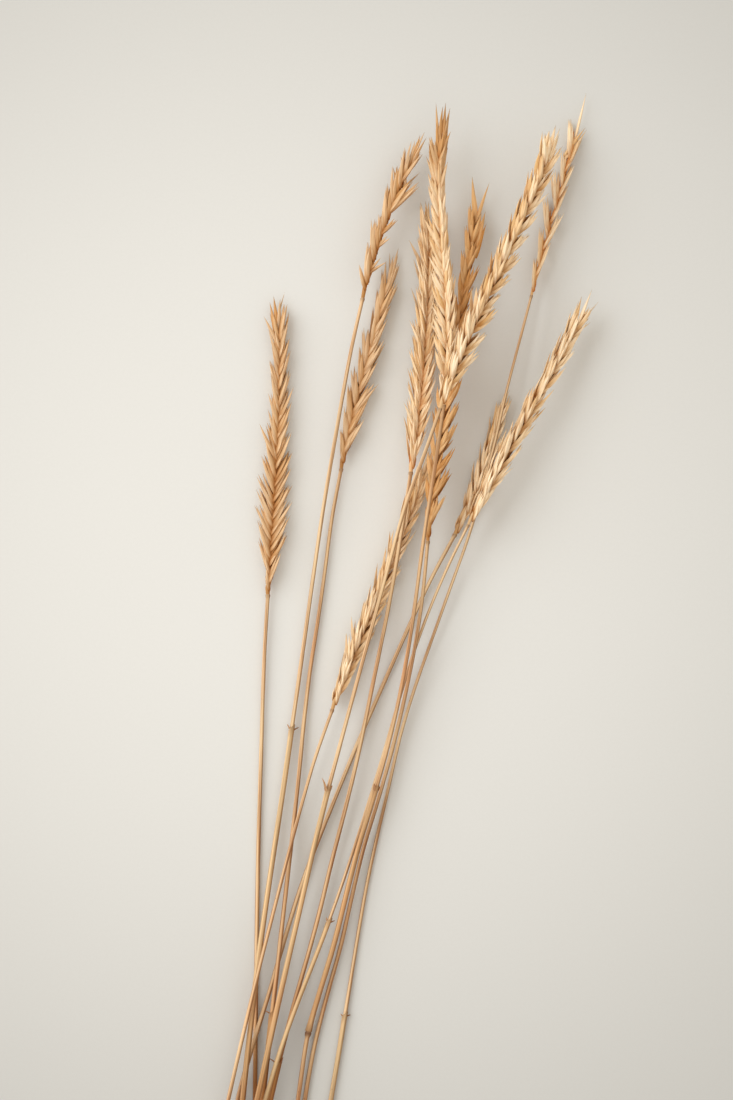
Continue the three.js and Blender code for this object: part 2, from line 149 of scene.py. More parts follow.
# The topmost husks of the ears: where each ends (x, y) in millimetres, the way it points in
# degrees to the right of +Y, its length, and its width as a share of other husks'. The thinnest
# are bare dry awns. The ears that aren't here end in a few plain ones.
TIPS = {
    "far_left": [
        (-38.5, 162.7, 15, 10, 0.4), (-42.0, 161.2, -4, 12, 0.9), (-40.4, 160.1, 0, 12, 1.0),
        (-43.5, 158.9, -8, 12, 0.9), (-38.5, 156.3, 8, 12, 0.9), (-36.3, 155.1, 12, 12, 0.8),
    ],
    "left_inner": [
        (4.4, 179.5, 12, 15, 1.0), (5.2, 176.8, 20, 15, 1.0), (2.5, 176.8, 6, 14, 1.0),
        (1.8, 177.9, 2, 9, 0.4), (-0.2, 174.5, 2, 13, 0.9), (4.6, 172.0, 24, 12, 0.9),
    ],
    "left_outer": [
        (14.3, 223.5, 24, 14, 1.0), (13.5, 222.0, 20, 13, 1.0), (15.0, 221.3, 27, 13, 0.9),
        (14.3, 215.2, 38, 8, 0.4), (12.8, 208.3, 45, 7, 0.4), (6.3, 214.4, -6, 12, 0.9),
        (7.6, 212.5, 4, 12, 0.9), (3.3, 210.2, -8, 12, 0.9),
    ],
    "middle_tall": [
        (23.9, 232.0, 9, 17, 1.1), (23.2, 233.8, 6, 17, 1.0), (21.2, 232.6, 3, 17, 1.1),
        (19.5, 233.8, -1, 17, 0.8), (19.1, 229.6, -2, 17, 1.0), (24.1, 228.8, 12, 16, 1.0),
        (21.9, 230.6, 5, 16, 1.2), (22.9, 228.6, 9, 16, 1.2), (20.2, 227.6, 1, 16, 1.1),
        (23.4, 224.0, 14, 15, 1.1), (18.7, 224.0, -2, 16, 1.1), (21.2, 225.0, 5, 16, 1.2),
        (22.8, 219.5, 15, 14, 1.1), (22.2, 215.0, 14, 14, 1.1),
        (15.6, 219.3, -10, 15, 1.1), (15.2, 214.5, -10, 15, 1.1),
    ],
    "middle_brown": [
        (32.5, 206.4, -6, 15, 1.1), (33.7, 203.4, -3, 13, 1.0), (39.0, 204.2, 17, 16, 0.8),
        (38.6, 201.1, 20, 13, 0.7), (37.4, 193.4, 10, 13, 1.1), (32.4, 196.2, -8, 10, 0.4),
        (35.6, 192.4, 2, 13, 1.2), (34.0, 191.0, -6, 13, 1.1), (37.8, 188.6, 14, 13, 1.0),
    ],
    "diagonal": [
        (63.7, 225.1, 14, 15, 0.9), (64.8, 225.4, 15, 15, 0.9), (65.6, 224.7, 17, 15, 0.9),
        (66.0, 222.0, 22, 13, 0.8), (66.4, 217.8, 29, 13, 0.9), (61.5, 220.5, 11, 13, 0.9),
    ],
    "slim_right": [
        (75.9, 238.4, 12, 17, 0.6), (70.9, 228.1, 6, 11, 0.9), (75.5, 225.4, 33, 13, 0.8),
        (76.6, 224.3, 35, 13, 0.7),
    ],
    "right": [
        (77.8, 163.5, 20, 15, 0.8), (74.7, 160.8, 17, 14, 0.9), (72.8, 159.3, 14, 13, 0.9),
        (80.8, 158.9, 42, 14, 0.5), (77.0, 153.2, 46, 13, 0.8), (77.8, 151.0, 54, 13, 0.7),
    ],
}
PLAIN_TIP = (-0.9, -0.2, 0.3, 1.0)  # how far each is to the right of the ear's tip
PLAIN_DOWN, PLAIN_TURN = 2.0, 6  # millimetres and degrees for each millimetre to a side
PLAIN_LENGTH, PLAIN_WIDTH = 12, 0.8

# The spikelets of an ear that has lost some, one by one: place along Y, side with -1 for left,
# size, lean, and how many husks are left on it.
LOOSE_EARS = {
    "left_outer": [
        (163.5, -1, 0.62, 32, 2), (165.8, -1, 0.95, 17, 8), (169.6, 1, 0.50, 26, 2),
        (174.5, -1, 0.98, 19, 8), (179.1, 1, 0.42, 32, 2), (181.7, -1, 0.66, 20, 5),
        (184.0, 1, 0.52, 27, 3), (185.9, -1, 1.05, 18, 8), (192.0, 1, 1.00, 18, 8),
        (195.0, -1, 0.98, 19, 8), (201.9, -1, 0.92, 16, 6), (203.4, 1, 0.85, 12, 6),
        (207.0, -1, 0.85, 10, 5),
    ],
}

# Spikelets: each husk's kind, root and length as shares of the spikelet's, the side of the row
# that it faces, its share of the fan, and its lean as a share of the spikelet's.
DENSE_SPIKELET = [
    ("lemma", 0.06, 0.88, 1.0, 0.50, 1.00),
    ("glume", 0.00, 0.62, 1.0, 0.95, 1.12),
    ("lemma", 0.15, 0.82, 0.6, 0.25, 0.80),
    ("lemma", 0.08, 0.86, -1.0, 0.50, 1.00),
    ("lemma", 0.10, 0.70, 0.9, 0.70, 0.50),
    ("glume", 0.02, 0.58, -1.0, 0.95, 1.12),
    ("lemma", 0.22, 0.78, 0.1, 0.00, 0.92),
    ("lemma", 0.16, 0.72, 1.0, 0.95, 0.72),
    ("lemma", 0.14, 0.76, -0.8, 0.45, 0.66),
]
NEAT_SPIKELET = [
    ("lemma", 0.00, 0.98, 1.0, 0.35, 1.04),
    ("lemma", 0.13, 0.84, 0.7, 0.20, 0.96),
    ("lemma", 0.05, 0.92, -0.9, 0.35, 1.04),
    ("glume", 0.00, 0.55, 1.0, 0.75, 1.10),
    ("lemma", 0.22, 0.72, 0.4, 0.05, 0.90),
    ("lemma", 0.18, 0.80, -0.7, 0.20, 0.96),
    ("lemma", 0.08, 0.78, 1.0, 0.80, 0.92),
    ("lemma", 0.28, 0.66, 0.9, 0.45, 0.86),
]

# Husks in the straight: place, width, height and bow, as shares of the husk's own.
LEMMA_RINGS = [
    (0.00, 0.62, 0.50, 0.00),
    (0.08, 0.82, 0.72, 0.29),
    (0.22, 0.98, 0.95, 0.69),
    (0.38, 1.00, 1.00, 0.94),
    (0.54, 0.84, 0.88, 0.99),
    (0.70, 0.62, 0.66, 0.84),
    (0.85, 0.38, 0.42, 0.50),
    (0.96, 0.16, 0.20, 0.16),
    (1.06, 0.02, 0.04, -0.08),
]
GLUME_RINGS = [
    (0.00, 0.50, 0.50, 0.00),
    (0.12, 0.84, 0.82, 0.42),
    (0.30, 1.00, 1.00, 0.84),
    (0.50, 0.88, 0.92, 1.00),
    (0.70, 0.58, 0.66, 0.84),
    (0.88, 0.28, 0.34, 0.42),
    (1.03, 0.02, 0.04, -0.05),
]


# Settings ----------------------


def length_setting(name, description, default):
    return bpy.props.FloatProperty(
        name=name, description=description, default=default, unit="LENGTH"
    )


def colour_setting(name, description, default):
    return bpy.props.FloatVectorProperty(
        name=name, description=description, default=default, subtype="COLOR"
    )


def strength_setting(name, description, default):
    return bpy.props.FloatProperty(name=name, description=description, default=default)


class StrawSettings(bpy.types.PropertyGroup):
    sides: bpy.props.IntProperty(
        name="Sides", description="Faces round a straw", default=14, min=6, max=32
    )
    ring_spacing: length_setting("Ring spacing", "Length of a straw's faces", 4 * MM)
    wall: length_setting("Straw wall", "Thickness seen at a cut end", 0.32 * MM)
    sheath_wall: length_setting(
        "Sheath wall", "What a leaf sheath adds to the radius", 0.14 * MM
    )
    pale: colour_setting("Pale straw", "Colour of a straw's pale streaks", (0.80, 0.62, 0.39))
    dark: colour_setting("Dark straw", "Colour of a straw's dark streaks", (0.47, 0.27, 0.14))
    knot: colour_setting("Knot", "Colour of the knots", (0.16, 0.07, 0.03))
    sheath: colour_setting("Sheath", "Colour of the leaf sheaths", (0.77, 0.58, 0.34))


class HuskSettings(bpy.types.PropertyGroup):
    width: length_setting("Husk width", "Across a husk at its widest", 1.8 * MM)
    depth: length_setting("Husk depth", "From a husk's margins to its keel", 0.85 * MM)
    stray: strength_setting("Strays", "Share of husks that stand off from the others", 0.05)
    tan: colour_setting("Tan husk", "Colour of the tan ears", (0.74, 0.525, 0.32))
    pale: colour_setting("Pale husk", "Colour of the pale ears", (0.92, 0.755, 0.535))
    brown: colour_setting("Brown husk", "Colour of the brown ear", (0.77, 0.495, 0.24))
    root: colour_setting(
        "Husk root", "Colour where a husk grows from the axis", (0.50, 0.21, 0.045)
    )
    point: colour_setting("Husk point", "Colour of the dry points", (0.28, 0.17, 0.09))


class StageSettings(bpy.types.PropertyGroup):
    floor: colour_setting("Floor", "Colour of the floor", (0.79, 0.832, 0.858))
    key_power: strength_setting(
        "Key light", "Strength of the soft light from the upper left", 1.62
    )
    key_width: bpy.props.FloatProperty(
        name="Key width", description="Angle that the key light fills", subtype="ANGLE",
        default=math.radians(58),
    )
    key_colour: colour_setting("Key colour", "Colour of the key light", (1.0, 0.985, 0.96))
    fill_power: strength_setting("Fill light", "Strength of the light from all round", 0.80)
    fill_colour: colour_setting(
        "Fill colour", "Colour of the light from all round", (1.0, 0.89, 0.76)
    )
    camera_height: length_setting(
        "Camera height", "Height of the camera over the floor", 4.0
    )


# Middle lines ------------------


def cross_sections(node):
    """Centres (x, y, z) and areas of a solid's cross-sections, at even spacing along Y."""
    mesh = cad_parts[node].data
    mesh.calc_loop_triangles()
    places = np.array([vertex.co for vertex in mesh.vertices])
    corners = places[np.array([triangle.vertices for triangle in mesh.loop_triangles])]
    low, high = places[:, 1].min() + END_MARGIN, places[:, 1].max() - END_MARGIN
    centres, areas = [], []
    for y in np.linspace(low, high, round((high - low) / SECTION_SPACING)):
        above = corners[:, :, 1] > y
        cut = above.any(axis=1) & ~above.all(axis=1)
        starts, ends = cut_segments(corners[cut], above[cut], y)
        cross = starts[:, 0] * ends[:, 1] - ends[:, 0] * starts[:, 1]
        x, z = ((starts + ends) * cross[:, None]).sum(axis=0) / (3 * cross.sum())
        centres.append((x, y, z))
        areas.append(abs(cross.sum()) / 2)
    return np.array(centres), np.array(areas)


def cut_segments(corners, above, y):
    """Where triangles cross the plane at y: the (x, z) ends of each crossing, all one way round."""
    starts = np.zeros((len(corners), 2))
    ends = np.zeros((len(corners), 2))
    for first in range(3):
        second = (first + 1) % 3
        rise = corners[:, second, 1] - corners[:, first, 1]
        share = (y - corners[:, first, 1]) / np.where(rise == 0, 1, rise)
        point = corners[:, first] + share[:, None] * (corners[:, second] - corners[:, first])
        rises = ~above[:, first] & above[:, second]
        falls = above[:, first] & ~above[:, second]
        starts[rises] = point[rises][:, [0, 2]]
        ends[falls] = point[falls][:, [0, 2]]
    return starts, ends


def tangent(degrees):
    return math.tan(math.radians(degrees))


def smoothed(values, passes):
    """Values with each one drawn towards its neighbours, the ends kept."""
    values = values.copy()
    for _ in range(passes):
        values[1:-1] = (values[:-2] + 2 * values[1:-1] + values[2:]) / 4
    return values


def ear_points(stem, ear, tip, turn):
    """Points of an ear's middle line, which bends on from the end of the stem to the ear's tip."""
    neck = stem[-1]
    slope = neck - stem[-1 - NECK_SLOPE_OVER]
    slope /= slope[1]
    length = tip[1] * MM - neck[1]
    count = round(length / SECTION_SPACING)
    share = np.arange(1, count + 1) / count
    points = neck + slope * (share * length)[:, None]
    off = tip[0] * MM - points[-1, 0]
    swing = (tangent(turn) - slope[0]) * length
    points[:, 0] += (3 * off - swing) * share**2 + (swing - 2 * off) * share**3
    kept = ear[(ear[:, 1] > neck[1]) & (ear[:, 1] < ear[-1, 1] - EAR_TIP_LEFT_OUT)]
    along = (kept[:, 1] - neck[1]) / length
    rest = kept[:, 2] - neck[2] - slope[2] * (kept[:, 1] - neck[1])
    bends = np.linalg.lstsq(np.stack([along**2, along**3], axis=1), rest, rcond=None)[0]
    points[:, 2] += bends @ np.stack([share**2, share**3])
    return points


class MiddleLine:
    """A stalk's line from its cut end to the tip of its ear, with the places along it."""

    def __init__(self, name):
        stem, areas = cross_sections(f"stem_{name}")
        ear, _ = cross_sections(f"ear_{name}")
        run = (stem[1] - stem[0]) / np.linalg.norm(stem[1] - stem[0]) * END_MARGIN
        stem = smoothed(np.vstack([stem[0] - run, stem]), STEM_SMOOTHING)
        features = STALKS[name]
        self.points = np.vstack([stem, ear_points(stem, ear, features["tip"], features["turn"])])
        steps = np.linalg.norm(np.diff(self.points, axis=0), axis=1)
        self.lengths = np.concatenate([[0], np.cumsum(steps)])
        self.neck = self.lengths[len(stem) - 1] + features["raised"] * MM
        self.end = self.lengths[-1]
        tilt = np.gradient(self.points[1 : len(stem), 1], self.lengths[1 : len(stem)])
        self.stem_lengths = self.lengths[1 : len(stem)]
        self.radii = np.sqrt(areas * tilt / CORE_HEXAGON)
        self.ahead = self.points[-1, :2] - self.points[-1 - TIP_SLOPE_OVER, :2]
        self.ahead /= np.linalg.norm(self.ahead)

    def at(self, y):
        """The distance from the cut end of a place along Y, given in millimetres."""
        return float(np.interp(y * MM, self.points[:, 1], self.lengths))

    def beside(self, x, y):
        """How far along and to the left a place near the line's end is, given in millimetres."""
        off = np.array([x * MM, y * MM]) - self.points[-1, :2]
        return self.end + off @ self.ahead, self.ahead[0] * off[1] - self.ahead[1] * off[0]

    def heading(self):
        """The way the line points at its end, in degrees to the right of +Y."""
        return math.degrees(math.atan2(self.ahead[0], self.ahead[1]))

    def radius(self, along):
        """The radius of the stem's solid at a distance from the cut end."""
        return float(np.interp(along, self.stem_lengths, self.radii))

    def guide(self):
        """A curve along the line, which pieces are bent onto."""
        curve = bpy.data.curves.new("guide", "CURVE")
        curve.dimensions = "3D"
        curve.twist_mode = "Z_UP"
        spline = curve.splines.new("POLY")
        spline.points.add(len(self.points) - 1)
        for knot, place in zip(spline.points, self.points):
            knot.co = (*place, 1)
        guide = bpy.data.objects.new("guide", curve)
        bpy.context.scene.collection.objects.link(guide)
        return guide


LINES = {name: MiddleLine(name) for name in STALKS}


def bare_radius(name, along):
    """The radius of a straw without its sheath and knots, which tapers to the neck."""
    line = LINES[name]
    foot = line.radius(RADIUS_READ_IN)
    neck = line.radius(line.neck - RADIUS_READ_IN)
    return SLIMMER * (foot + (neck - foot) * min(1, along / line.neck))


# Modelling ---------------------

FOOT_DARKENS = (-145, -85)  # the straws are painted browner towards their feet between these places along Y, in millimetres: partly their own tone, partly painted shade where the lower stalks crowd together
LIT_SIDE = (math.cos(math.radians(40)), math.sin(math.radians(40)))  # left and up, towards the key light: the side away from it is painted in shade
PAINTED_SHADE_BELOW = 0.42  # a place gets no painted shade where the cosine of the angle from that side is more than this
PAINTED_SHADE_FADES = 0.68  # and full painted shade within this much less
SOFT_LANDING = 0.5 * MM  # what is lower than this is pressed together above the floor


def start_piece(sides, radius, along):
    """A filled ring across +X, ready to be drawn out in edit mode."""
    if bpy.context.object and bpy.context.object.mode == "EDIT":
        raise RuntimeError("the last piece is still open")
    bpy.ops.object.select_all(action="DESELECT")
    bpy.ops.mesh.primitive_circle_add(
        vertices=sides, radius=radius, fill_type="NGON", calc_uvs=False,
        location=(along, 0, 0), rotation=(0, math.pi / 2, 0),
    )
    bpy.ops.object.transform_apply(location=True, rotation=True)
    bpy.ops.object.mode_set(mode="EDIT")
    bpy.ops.mesh.select_all(action="SELECT")
    return bpy.context.object


def draw_out(step, scale, centre):
    """Draws the selected end of the piece out by a step, then scales it about a centre."""
    bpy.ops.mesh.extrude_region_move(TRANSFORM_OT_translate={"value": step})
    bpy.ops.transform.resize(value=(1, scale[0], scale[1]), center_override=centre)


def finish_piece(name, merge_tip=False):
    """Closes edit mode, with faces outwards, and names the piece."""
    if merge_tip:
        bpy.ops.mesh.merge(type="CENTER")
    bpy.ops.mesh.select_all(action="SELECT")
    bpy.ops.mesh.normals_make_consistent(inside=False)
    bpy.ops.object.mode_set(mode="OBJECT")
    piece = bpy.context.object
    piece.name = piece.data.name = name
    return piece


def draw_rings(rings):
    """Draws the end of the piece out from the first of its rings, (place, radius), to the last."""
    for (along, radius), (next_along, next_radius) in zip(rings, rings[1:]):
        scale = next_radius / radius
        draw_out((next_along - along, 0, 0), (scale, scale), (next_along, 0, 0))


def choose(*pieces):
    """Selects pieces alone, with the first one active."""
    bpy.ops.object.select_all(action="DESELECT")
    for piece in pieces:
        piece.select_set(True)
    bpy.context.view_layer.objects.active = pieces[0]


def smooth_faces(piece, sharper_than):
    """Smooth shading, with edges sharper than an angle in degrees left sharp."""
    choose(piece)
    bpy.ops.object.shade_smooth_by_angle(angle=math.radians(sharper_than))


def smoothstep(share):
    """Follows a share from 0 to 1, levelling off at both."""
    return share * share * (3 - 2 * share)


def coordinates(mesh):
    places = np.zeros(len(mesh.vertices) * 3, np.float32)
    mesh.vertices.foreach_get("co", places)
    return places.reshape(-1, 3)


def record_attribute(mesh, name, kind, values):
    """Stores a value for each vertex, for the materials to read."""
    attribute = mesh.attributes.new(name, kind, "POINT")
    field = "vector" if kind == "FLOAT_VECTOR" else "value"
    attribute.data.foreach_set(field, np.asarray(values, np.float32).ravel())


def painted_shade_side(straight):
    """How much painted shade each place of a straight piece gets, from how far round it is from the
    side towards the key light, the upper left.
    """
    away = np.maximum(np.hypot(straight[:, 1], straight[:, 2]), 1e-6)
    facing = straight[:, 1:] @ np.array(LIT_SIDE) / away
    return np.clip((PAINTED_SHADE_BELOW - facing) / PAINTED_SHADE_FADES, 0, 1)


def record_straw(piece, name, dark):
    """Stores what the straw material reads: place, dark knots, tone and painted shade on the side
    away from the key light.
    """
    straight = coordinates(piece.data)
    record_attribute(piece.data, "grain", "FLOAT_VECTOR", straight)
    record_attribute(piece.data, "knot", "FLOAT", dark)
    # browner towards the foot: partly the straw's own tone, partly painted shade of the crowded
    # lower stalks
    low, high = (LINES[name].at(y) for y in FOOT_DARKENS)
    lower_part = np.clip((high - straight[:, 0]) / (high - low), 0, 1)
    tone = STALKS[name]["tone"] + STALKS[name]["foot"] * lower_part
    record_attribute(piece.data, "tone", "FLOAT", tone)
    record_attribute(piece.data, "shaded", "FLOAT", painted_shade_side(straight))


def lay_on(piece, line):
    """Bends a straight piece onto a stalk's line, and presses what is too low onto the floor."""
    choose(piece)
    bend = piece.modifiers.new("Bend", "CURVE")
    bend.object = guide = line.guide()
    bend.deform_axis = "POS_X"
    bpy.ops.object.modifier_apply(modifier=bend.name)
    bpy.data.objects.remove(guide)
    places = coordinates(piece.data)
    low = places[:, 2] < SOFT_LANDING
    places[low, 2] = SOFT_LANDING * np.exp((places[low, 2] - SOFT_LANDING) / SOFT_LANDING)
    piece.data.vertices.foreach_set("co", places.ravel())
    piece.data.update()


def stand(mesh, root, direction, outward, size):
    """Scales a unit piece, and stands it at its root along a direction with its top outward."""
    side = outward.cross(direction).normalized()
    turn = Matrix((direction, side, direction.cross(side))).transposed().to_4x4()
    mesh.transform(Matrix.Translation(root) @ turn @ Matrix.Diagonal((*size, 1)))


def dress(piece, material, node):
    """Gives a finished piece its material and its place in the model."""
    piece.data.materials.clear()
    piece.data.materials.append(material)
    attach(piece, "root")
    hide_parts(node)


def one_object(pieces, name):
    """Joins pieces into one object at the origin."""
    choose(*pieces)
    bpy.ops.object.join()
    pieces[0].name = pieces[0].data.name = name
    return pieces[0]


# Materials ---------------------

# What a colour is multiplied by where straw or husk is ...
ROSY = (0.98, 0.80, 0.70)
BROWNER = (0.60, 0.38, 0.20)
# painted shade on the side of a straw away from the key light
PAINTED_SHADE_TINT = (0.47, 0.34, 0.22)
DARK_VEINED = (0.70, 0.50, 0.28)
# painted highlight along a husk's keel
PAINTED_KEEL_HIGHLIGHT = (1.05, 1.11, 1.24)
# painted shade on a husk's flanks, towards its margins
PAINTED_FLANK_SHADE = (0.80, 0.60, 0.33)
WARMER = (0.84, 0.68, 0.46)
CREAMIER = (1.02, 1.05, 1.09)
FADED = (1.05, 1.06, 1.05)
RIPER = (0.70, 0.56, 0.42)
# painted shade deep inside an ear, for brown and for tan roots
PAINTED_DEEP_SHADE_BROWN = (0.60, 0.39, 0.13)
PAINTED_DEEP_SHADE_TAN = (0.86, 0.64, 0.38)
# ... and where the floor is painted greyer, as painted light falloff, which grows between these
# distances from the middle of the painted pool of light.
PAINTED_FALLOFF = (0.62, 0.615, 0.605)
FLOOR_LIGHT_POOL_MIDDLE = (-0.05, 0.085, 0)
PAINTED_FALLOFF_RANGE = (0.03, 0.40)
BUMP_HEIGHT = 0.12 * MM


class Recipe:
    """A material's nodes, added and linked one at a time."""

    def __init__(self, name):
        self.material = bpy.data.materials.new(name)
        self.material.use_nodes = True
        self.tree = self.material.node_tree
        self.shader = self.tree.nodes["Principled BSDF"]

    def add(self, kind, inputs=None, **settings):
        """A node with its settings; its inputs are values or other nodes' outputs."""
        node = self.tree.nodes.new(f"ShaderNode{kind}")
        for key, value in settings.items():
            setattr(node, key, value)
        for key, value in (inputs or {}).items():
            self.set(node.inputs[key], value)
        return node

    def set(self, socket, value):
        if isinstance(value, bpy.types.NodeSocket):
            self.tree.links.new(value, socket)
        else:
            socket.default_value = value

    def attribute(self, name, output="Vector"):
        return self.add("Attribute", attribute_name=name).outputs[output]

    def stretched_noise(self, vector, scale, detail):
        """Noise with its own scale along each axis of a vector."""
        mapping = self.add("Mapping", {"Vector": vector, "Scale": scale})
        noise = self.add("TexNoise", {"Vector": mapping.outputs[0], "Scale": 1.0, "Detail": detail})
        return noise.outputs["Fac"]

    def ramp(self, factor, stops):
        """A colour ramp from (place, colour) stops."""
        node = self.add("ValToRGB", {"Fac": factor})
        elements = node.color_ramp.elements
        while len(elements) < len(stops):
            elements.new(0.5)
        for element, (place, colour) in zip(elements, stops):
            element.position = place
            element.color = (*colour, 1)
        return node.outputs["Color"]

    def mix(self, factor, first, second, blend="MIX"):
        """A mix of two colours."""
        node = self.add("Mix", data_type="RGBA", blend_type=blend)
        colours = [socket for socket in node.inputs if socket.type == "RGBA"]
        self.set(node.inputs[0], factor)
        for socket, value in zip(colours, (first, second)):
            self.set(socket, value if isinstance(value, bpy.types.NodeSocket) else (*value, 1))
        return next(socket for socket in node.outputs if socket.type == "RGBA")

    def tinted(self, colour, tint, factor):
        """A colour multiplied by a tint, as far as a factor says."""
        return self.mix(factor, colour, tint, "MULTIPLY")

    def math(self, operation, first, second=0.0):
        node = self.add("Math", operation=operation)
        self.set(node.inputs[0], first)
        self.set(node.inputs[1], second)
        return node.outputs[0]

    def remap(self, value, low, high, to_low=0.0, to_high=1.0, **settings):
        """A value stretched from one range to another, and kept inside it."""
        inputs = {"Value": value, "From Min": low, "From Max": high}
        inputs |= {"To Min": to_low, "To Max": to_high}
        return self.add("MapRange", inputs, **settings).outputs[0]

    def bump(self, height, strength):
        inputs = {"Height": height, "Distance": BUMP_HEIGHT, "Strength": strength}
        self.set(self.shader.inputs["Normal"], self.add("Bump", inputs).outputs[0])

    def finish(self, colour, roughness, specular):
        """Gives the shader its colour and gloss."""
        self.set(self.shader.inputs["Base Color"], colour)
        self.set(self.shader.inputs["Roughness"], roughness)
        self.set(self.shader.inputs["Specular IOR Level"], specular)
        return self.material


def shade(colour, factor):
    """A colour made darker or paler."""
    return tuple(min(1.0, part * factor) for part in colour)


def blend(first, second, share):
    """A colour between two others."""
    return tuple(a + (b - a) * share for a, b in zip(first, second))


def straw_material(name, pale, dark, settings):
    """Dry straw: lengthwise streaks, painted shade on the side away from the key light, dark knots
    and a few specks.
    """
    recipe = Recipe(name)
    grain = recipe.attribute("grain")
    streaks = recipe.stretched_noise(grain, (28, 1700, 1700), 4)
    patches = recipe.stretched_noise(grain, (22, 160, 160), 2)
    base = recipe.ramp(streaks, [(0.34, dark), (0.52, pale), (0.68, shade(pale, 1.15))])
    tone = recipe.attribute("tone", "Fac")
    rosiness = recipe.math(
        "MULTIPLY", recipe.remap(patches, 0.38, 0.60), recipe.remap(tone, 0, 0.3, 0.3, 1)
    )
    base = recipe.tinted(base, ROSY, rosiness)
    base = recipe.tinted(base, BROWNER, tone)
    # painted shade on the side away from the key light
    base = recipe.tinted(base, PAINTED_SHADE_TINT, recipe.attribute("shaded", "Fac"))
    specks = recipe.stretched_noise(grain, (900, 1500, 1500), 1)
    base = recipe.mix(recipe.remap(specks, 0.74, 0.80, 0, 0.55), base, settings.knot)
    base = recipe.mix(recipe.attribute("knot", "Fac"), base, settings.knot)
    recipe.bump(streaks, 0.5)
    return recipe.finish(base, recipe.remap(streaks, 0.3, 0.7, 0.5, 0.36), 0.28)


def husk_material(name, body, root, deep_shade, settings):
    """A papery husk: brown root, veins along it, painted shade on its flanks, a painted highlight
    along its keel and a dark dry point.

    The colour it is multiplied by deep inside the ear is painted shade.
    """
    recipe = Recipe(name)
    place = recipe.attribute("place")
    share, across, tint = recipe.add("SeparateXYZ", {"Vector": place}).outputs
    grow = recipe.ramp(
        share,
        [
            (0.00, root),
            (0.16, blend(root, body, 0.5)),
            (0.40, body),
            (0.78, shade(body, 1.08)),
            (0.93, shade(body, 0.9)),
            (1.00, settings.point),
        ],
    )
    veins = recipe.stretched_noise(place, (2.2, 9.0, 60.0), 3)
    colour = recipe.tinted(grow, DARK_VEINED, recipe.remap(veins, 0.34, 0.56, 0.5, 0.0))
    off_keel = recipe.math("ABSOLUTE", across)
    # painted highlight along the keel
    colour = recipe.tinted(colour, PAINTED_KEEL_HIGHLIGHT, recipe.remap(off_keel, 0.46, 0.08, 0.0, 0.65))
    # painted shade towards the margins
    colour = recipe.tinted(colour, PAINTED_FLANK_SHADE, recipe.remap(off_keel, 0.55, 0.95, 0.0, 0.8))
    colour = recipe.tinted(colour, WARMER, recipe.remap(tint, 0.45, 1.0))
    colour = recipe.tinted(colour, CREAMIER, recipe.remap(tint, 0.40, 0.05))
    patches = recipe.stretched_noise(recipe.add("TexCoord").outputs["Object"], (60, 60, 60), 2)
    colour = recipe.tinted(colour, FADED, recipe.remap(patches, 0.4, 0.65))
    # painted shade deep inside the ear, on the lower parts of the husks
    lower = recipe.remap(share, 0.25, 0.60, 1.0, 0.0)
    depth = recipe.math("MULTIPLY", recipe.attribute("depth", "Fac"), lower)
    colour = recipe.tinted(colour, deep_shade, depth)
    colour = recipe.tinted(colour, RIPER, recipe.attribute("ripe", "Fac"))
    recipe.bump(veins, 0.35)
    return recipe.finish(colour, recipe.remap(veins, 0.3, 0.7, 0.62, 0.46), 0.18)


def floor_material(settings):
    """A plain pale floor with a faint tooth, painted a little greyer away from its middle as a
    painted pool of light.
    """
    recipe = Recipe("floor")
    spot = recipe.add("TexCoord").outputs["Object"]
    tooth = recipe.stretched_noise(spot, (900, 900, 900), 2)
    colour = recipe.mix(tooth, shade(settings.floor, 0.985), shade(settings.floor, 1.015))
    away = recipe.add("VectorMath", {0: spot, 1: FLOOR_LIGHT_POOL_MIDDLE}, operation="DISTANCE")
    far = recipe.remap(away.outputs["Value"], *PAINTED_FALLOFF_RANGE, interpolation_type="SMOOTHSTEP")
    # painted light falloff: greyer away from the middle
    return recipe.finish(recipe.tinted(colour, PAINTED_FALLOFF, far), 0.9, 0.2)


# Straws ------------------------

HOLLOW_DEPTH = 7 * MM
CUT_EDGE = 0.15 * MM  # the hollow's rim is this far inside the cut
NECK_GAP = 0.1 * MM  # a straw ends this far short of its ear's foot
NECK_OVERLAP = 0.6 * MM  # the ear's axis starts this far below the ear's foot, in the straw
STRAW_UNEVEN = (0.97, 1.03)
# How a straw swells at its knot and its neck: place in millimetres, and share.
KNOT_RINGS = [
    (-2.4, 1.0), (-1.5, 1.06), (-0.9, 1.36), (0.0, 1.52), (0.8, 1.28), (1.1, 1.03),
    (1.5, 1.10), (2.6, 1.02),
]
NECK_RINGS = [(-2.2, 1.0), (-1.5, 1.04), (-1.0, 1.24), (-0.4, 1.28), (0.0, 1.05)]
KNOT_CLEARANCE = 2.5 * MM  # plain rings keep this far from those of a swelling
# How dark a straw is at its cut end, its knot and its neck, and how far away that fades.
CUT_DARK, CUT_FADES = 0.6, 1.2 * MM
KNOT_DARK, KNOT_FADES = 0.95, 1.4 * MM
NECK_DARK, NECK_FADES = 0.5, 0.8 * MM


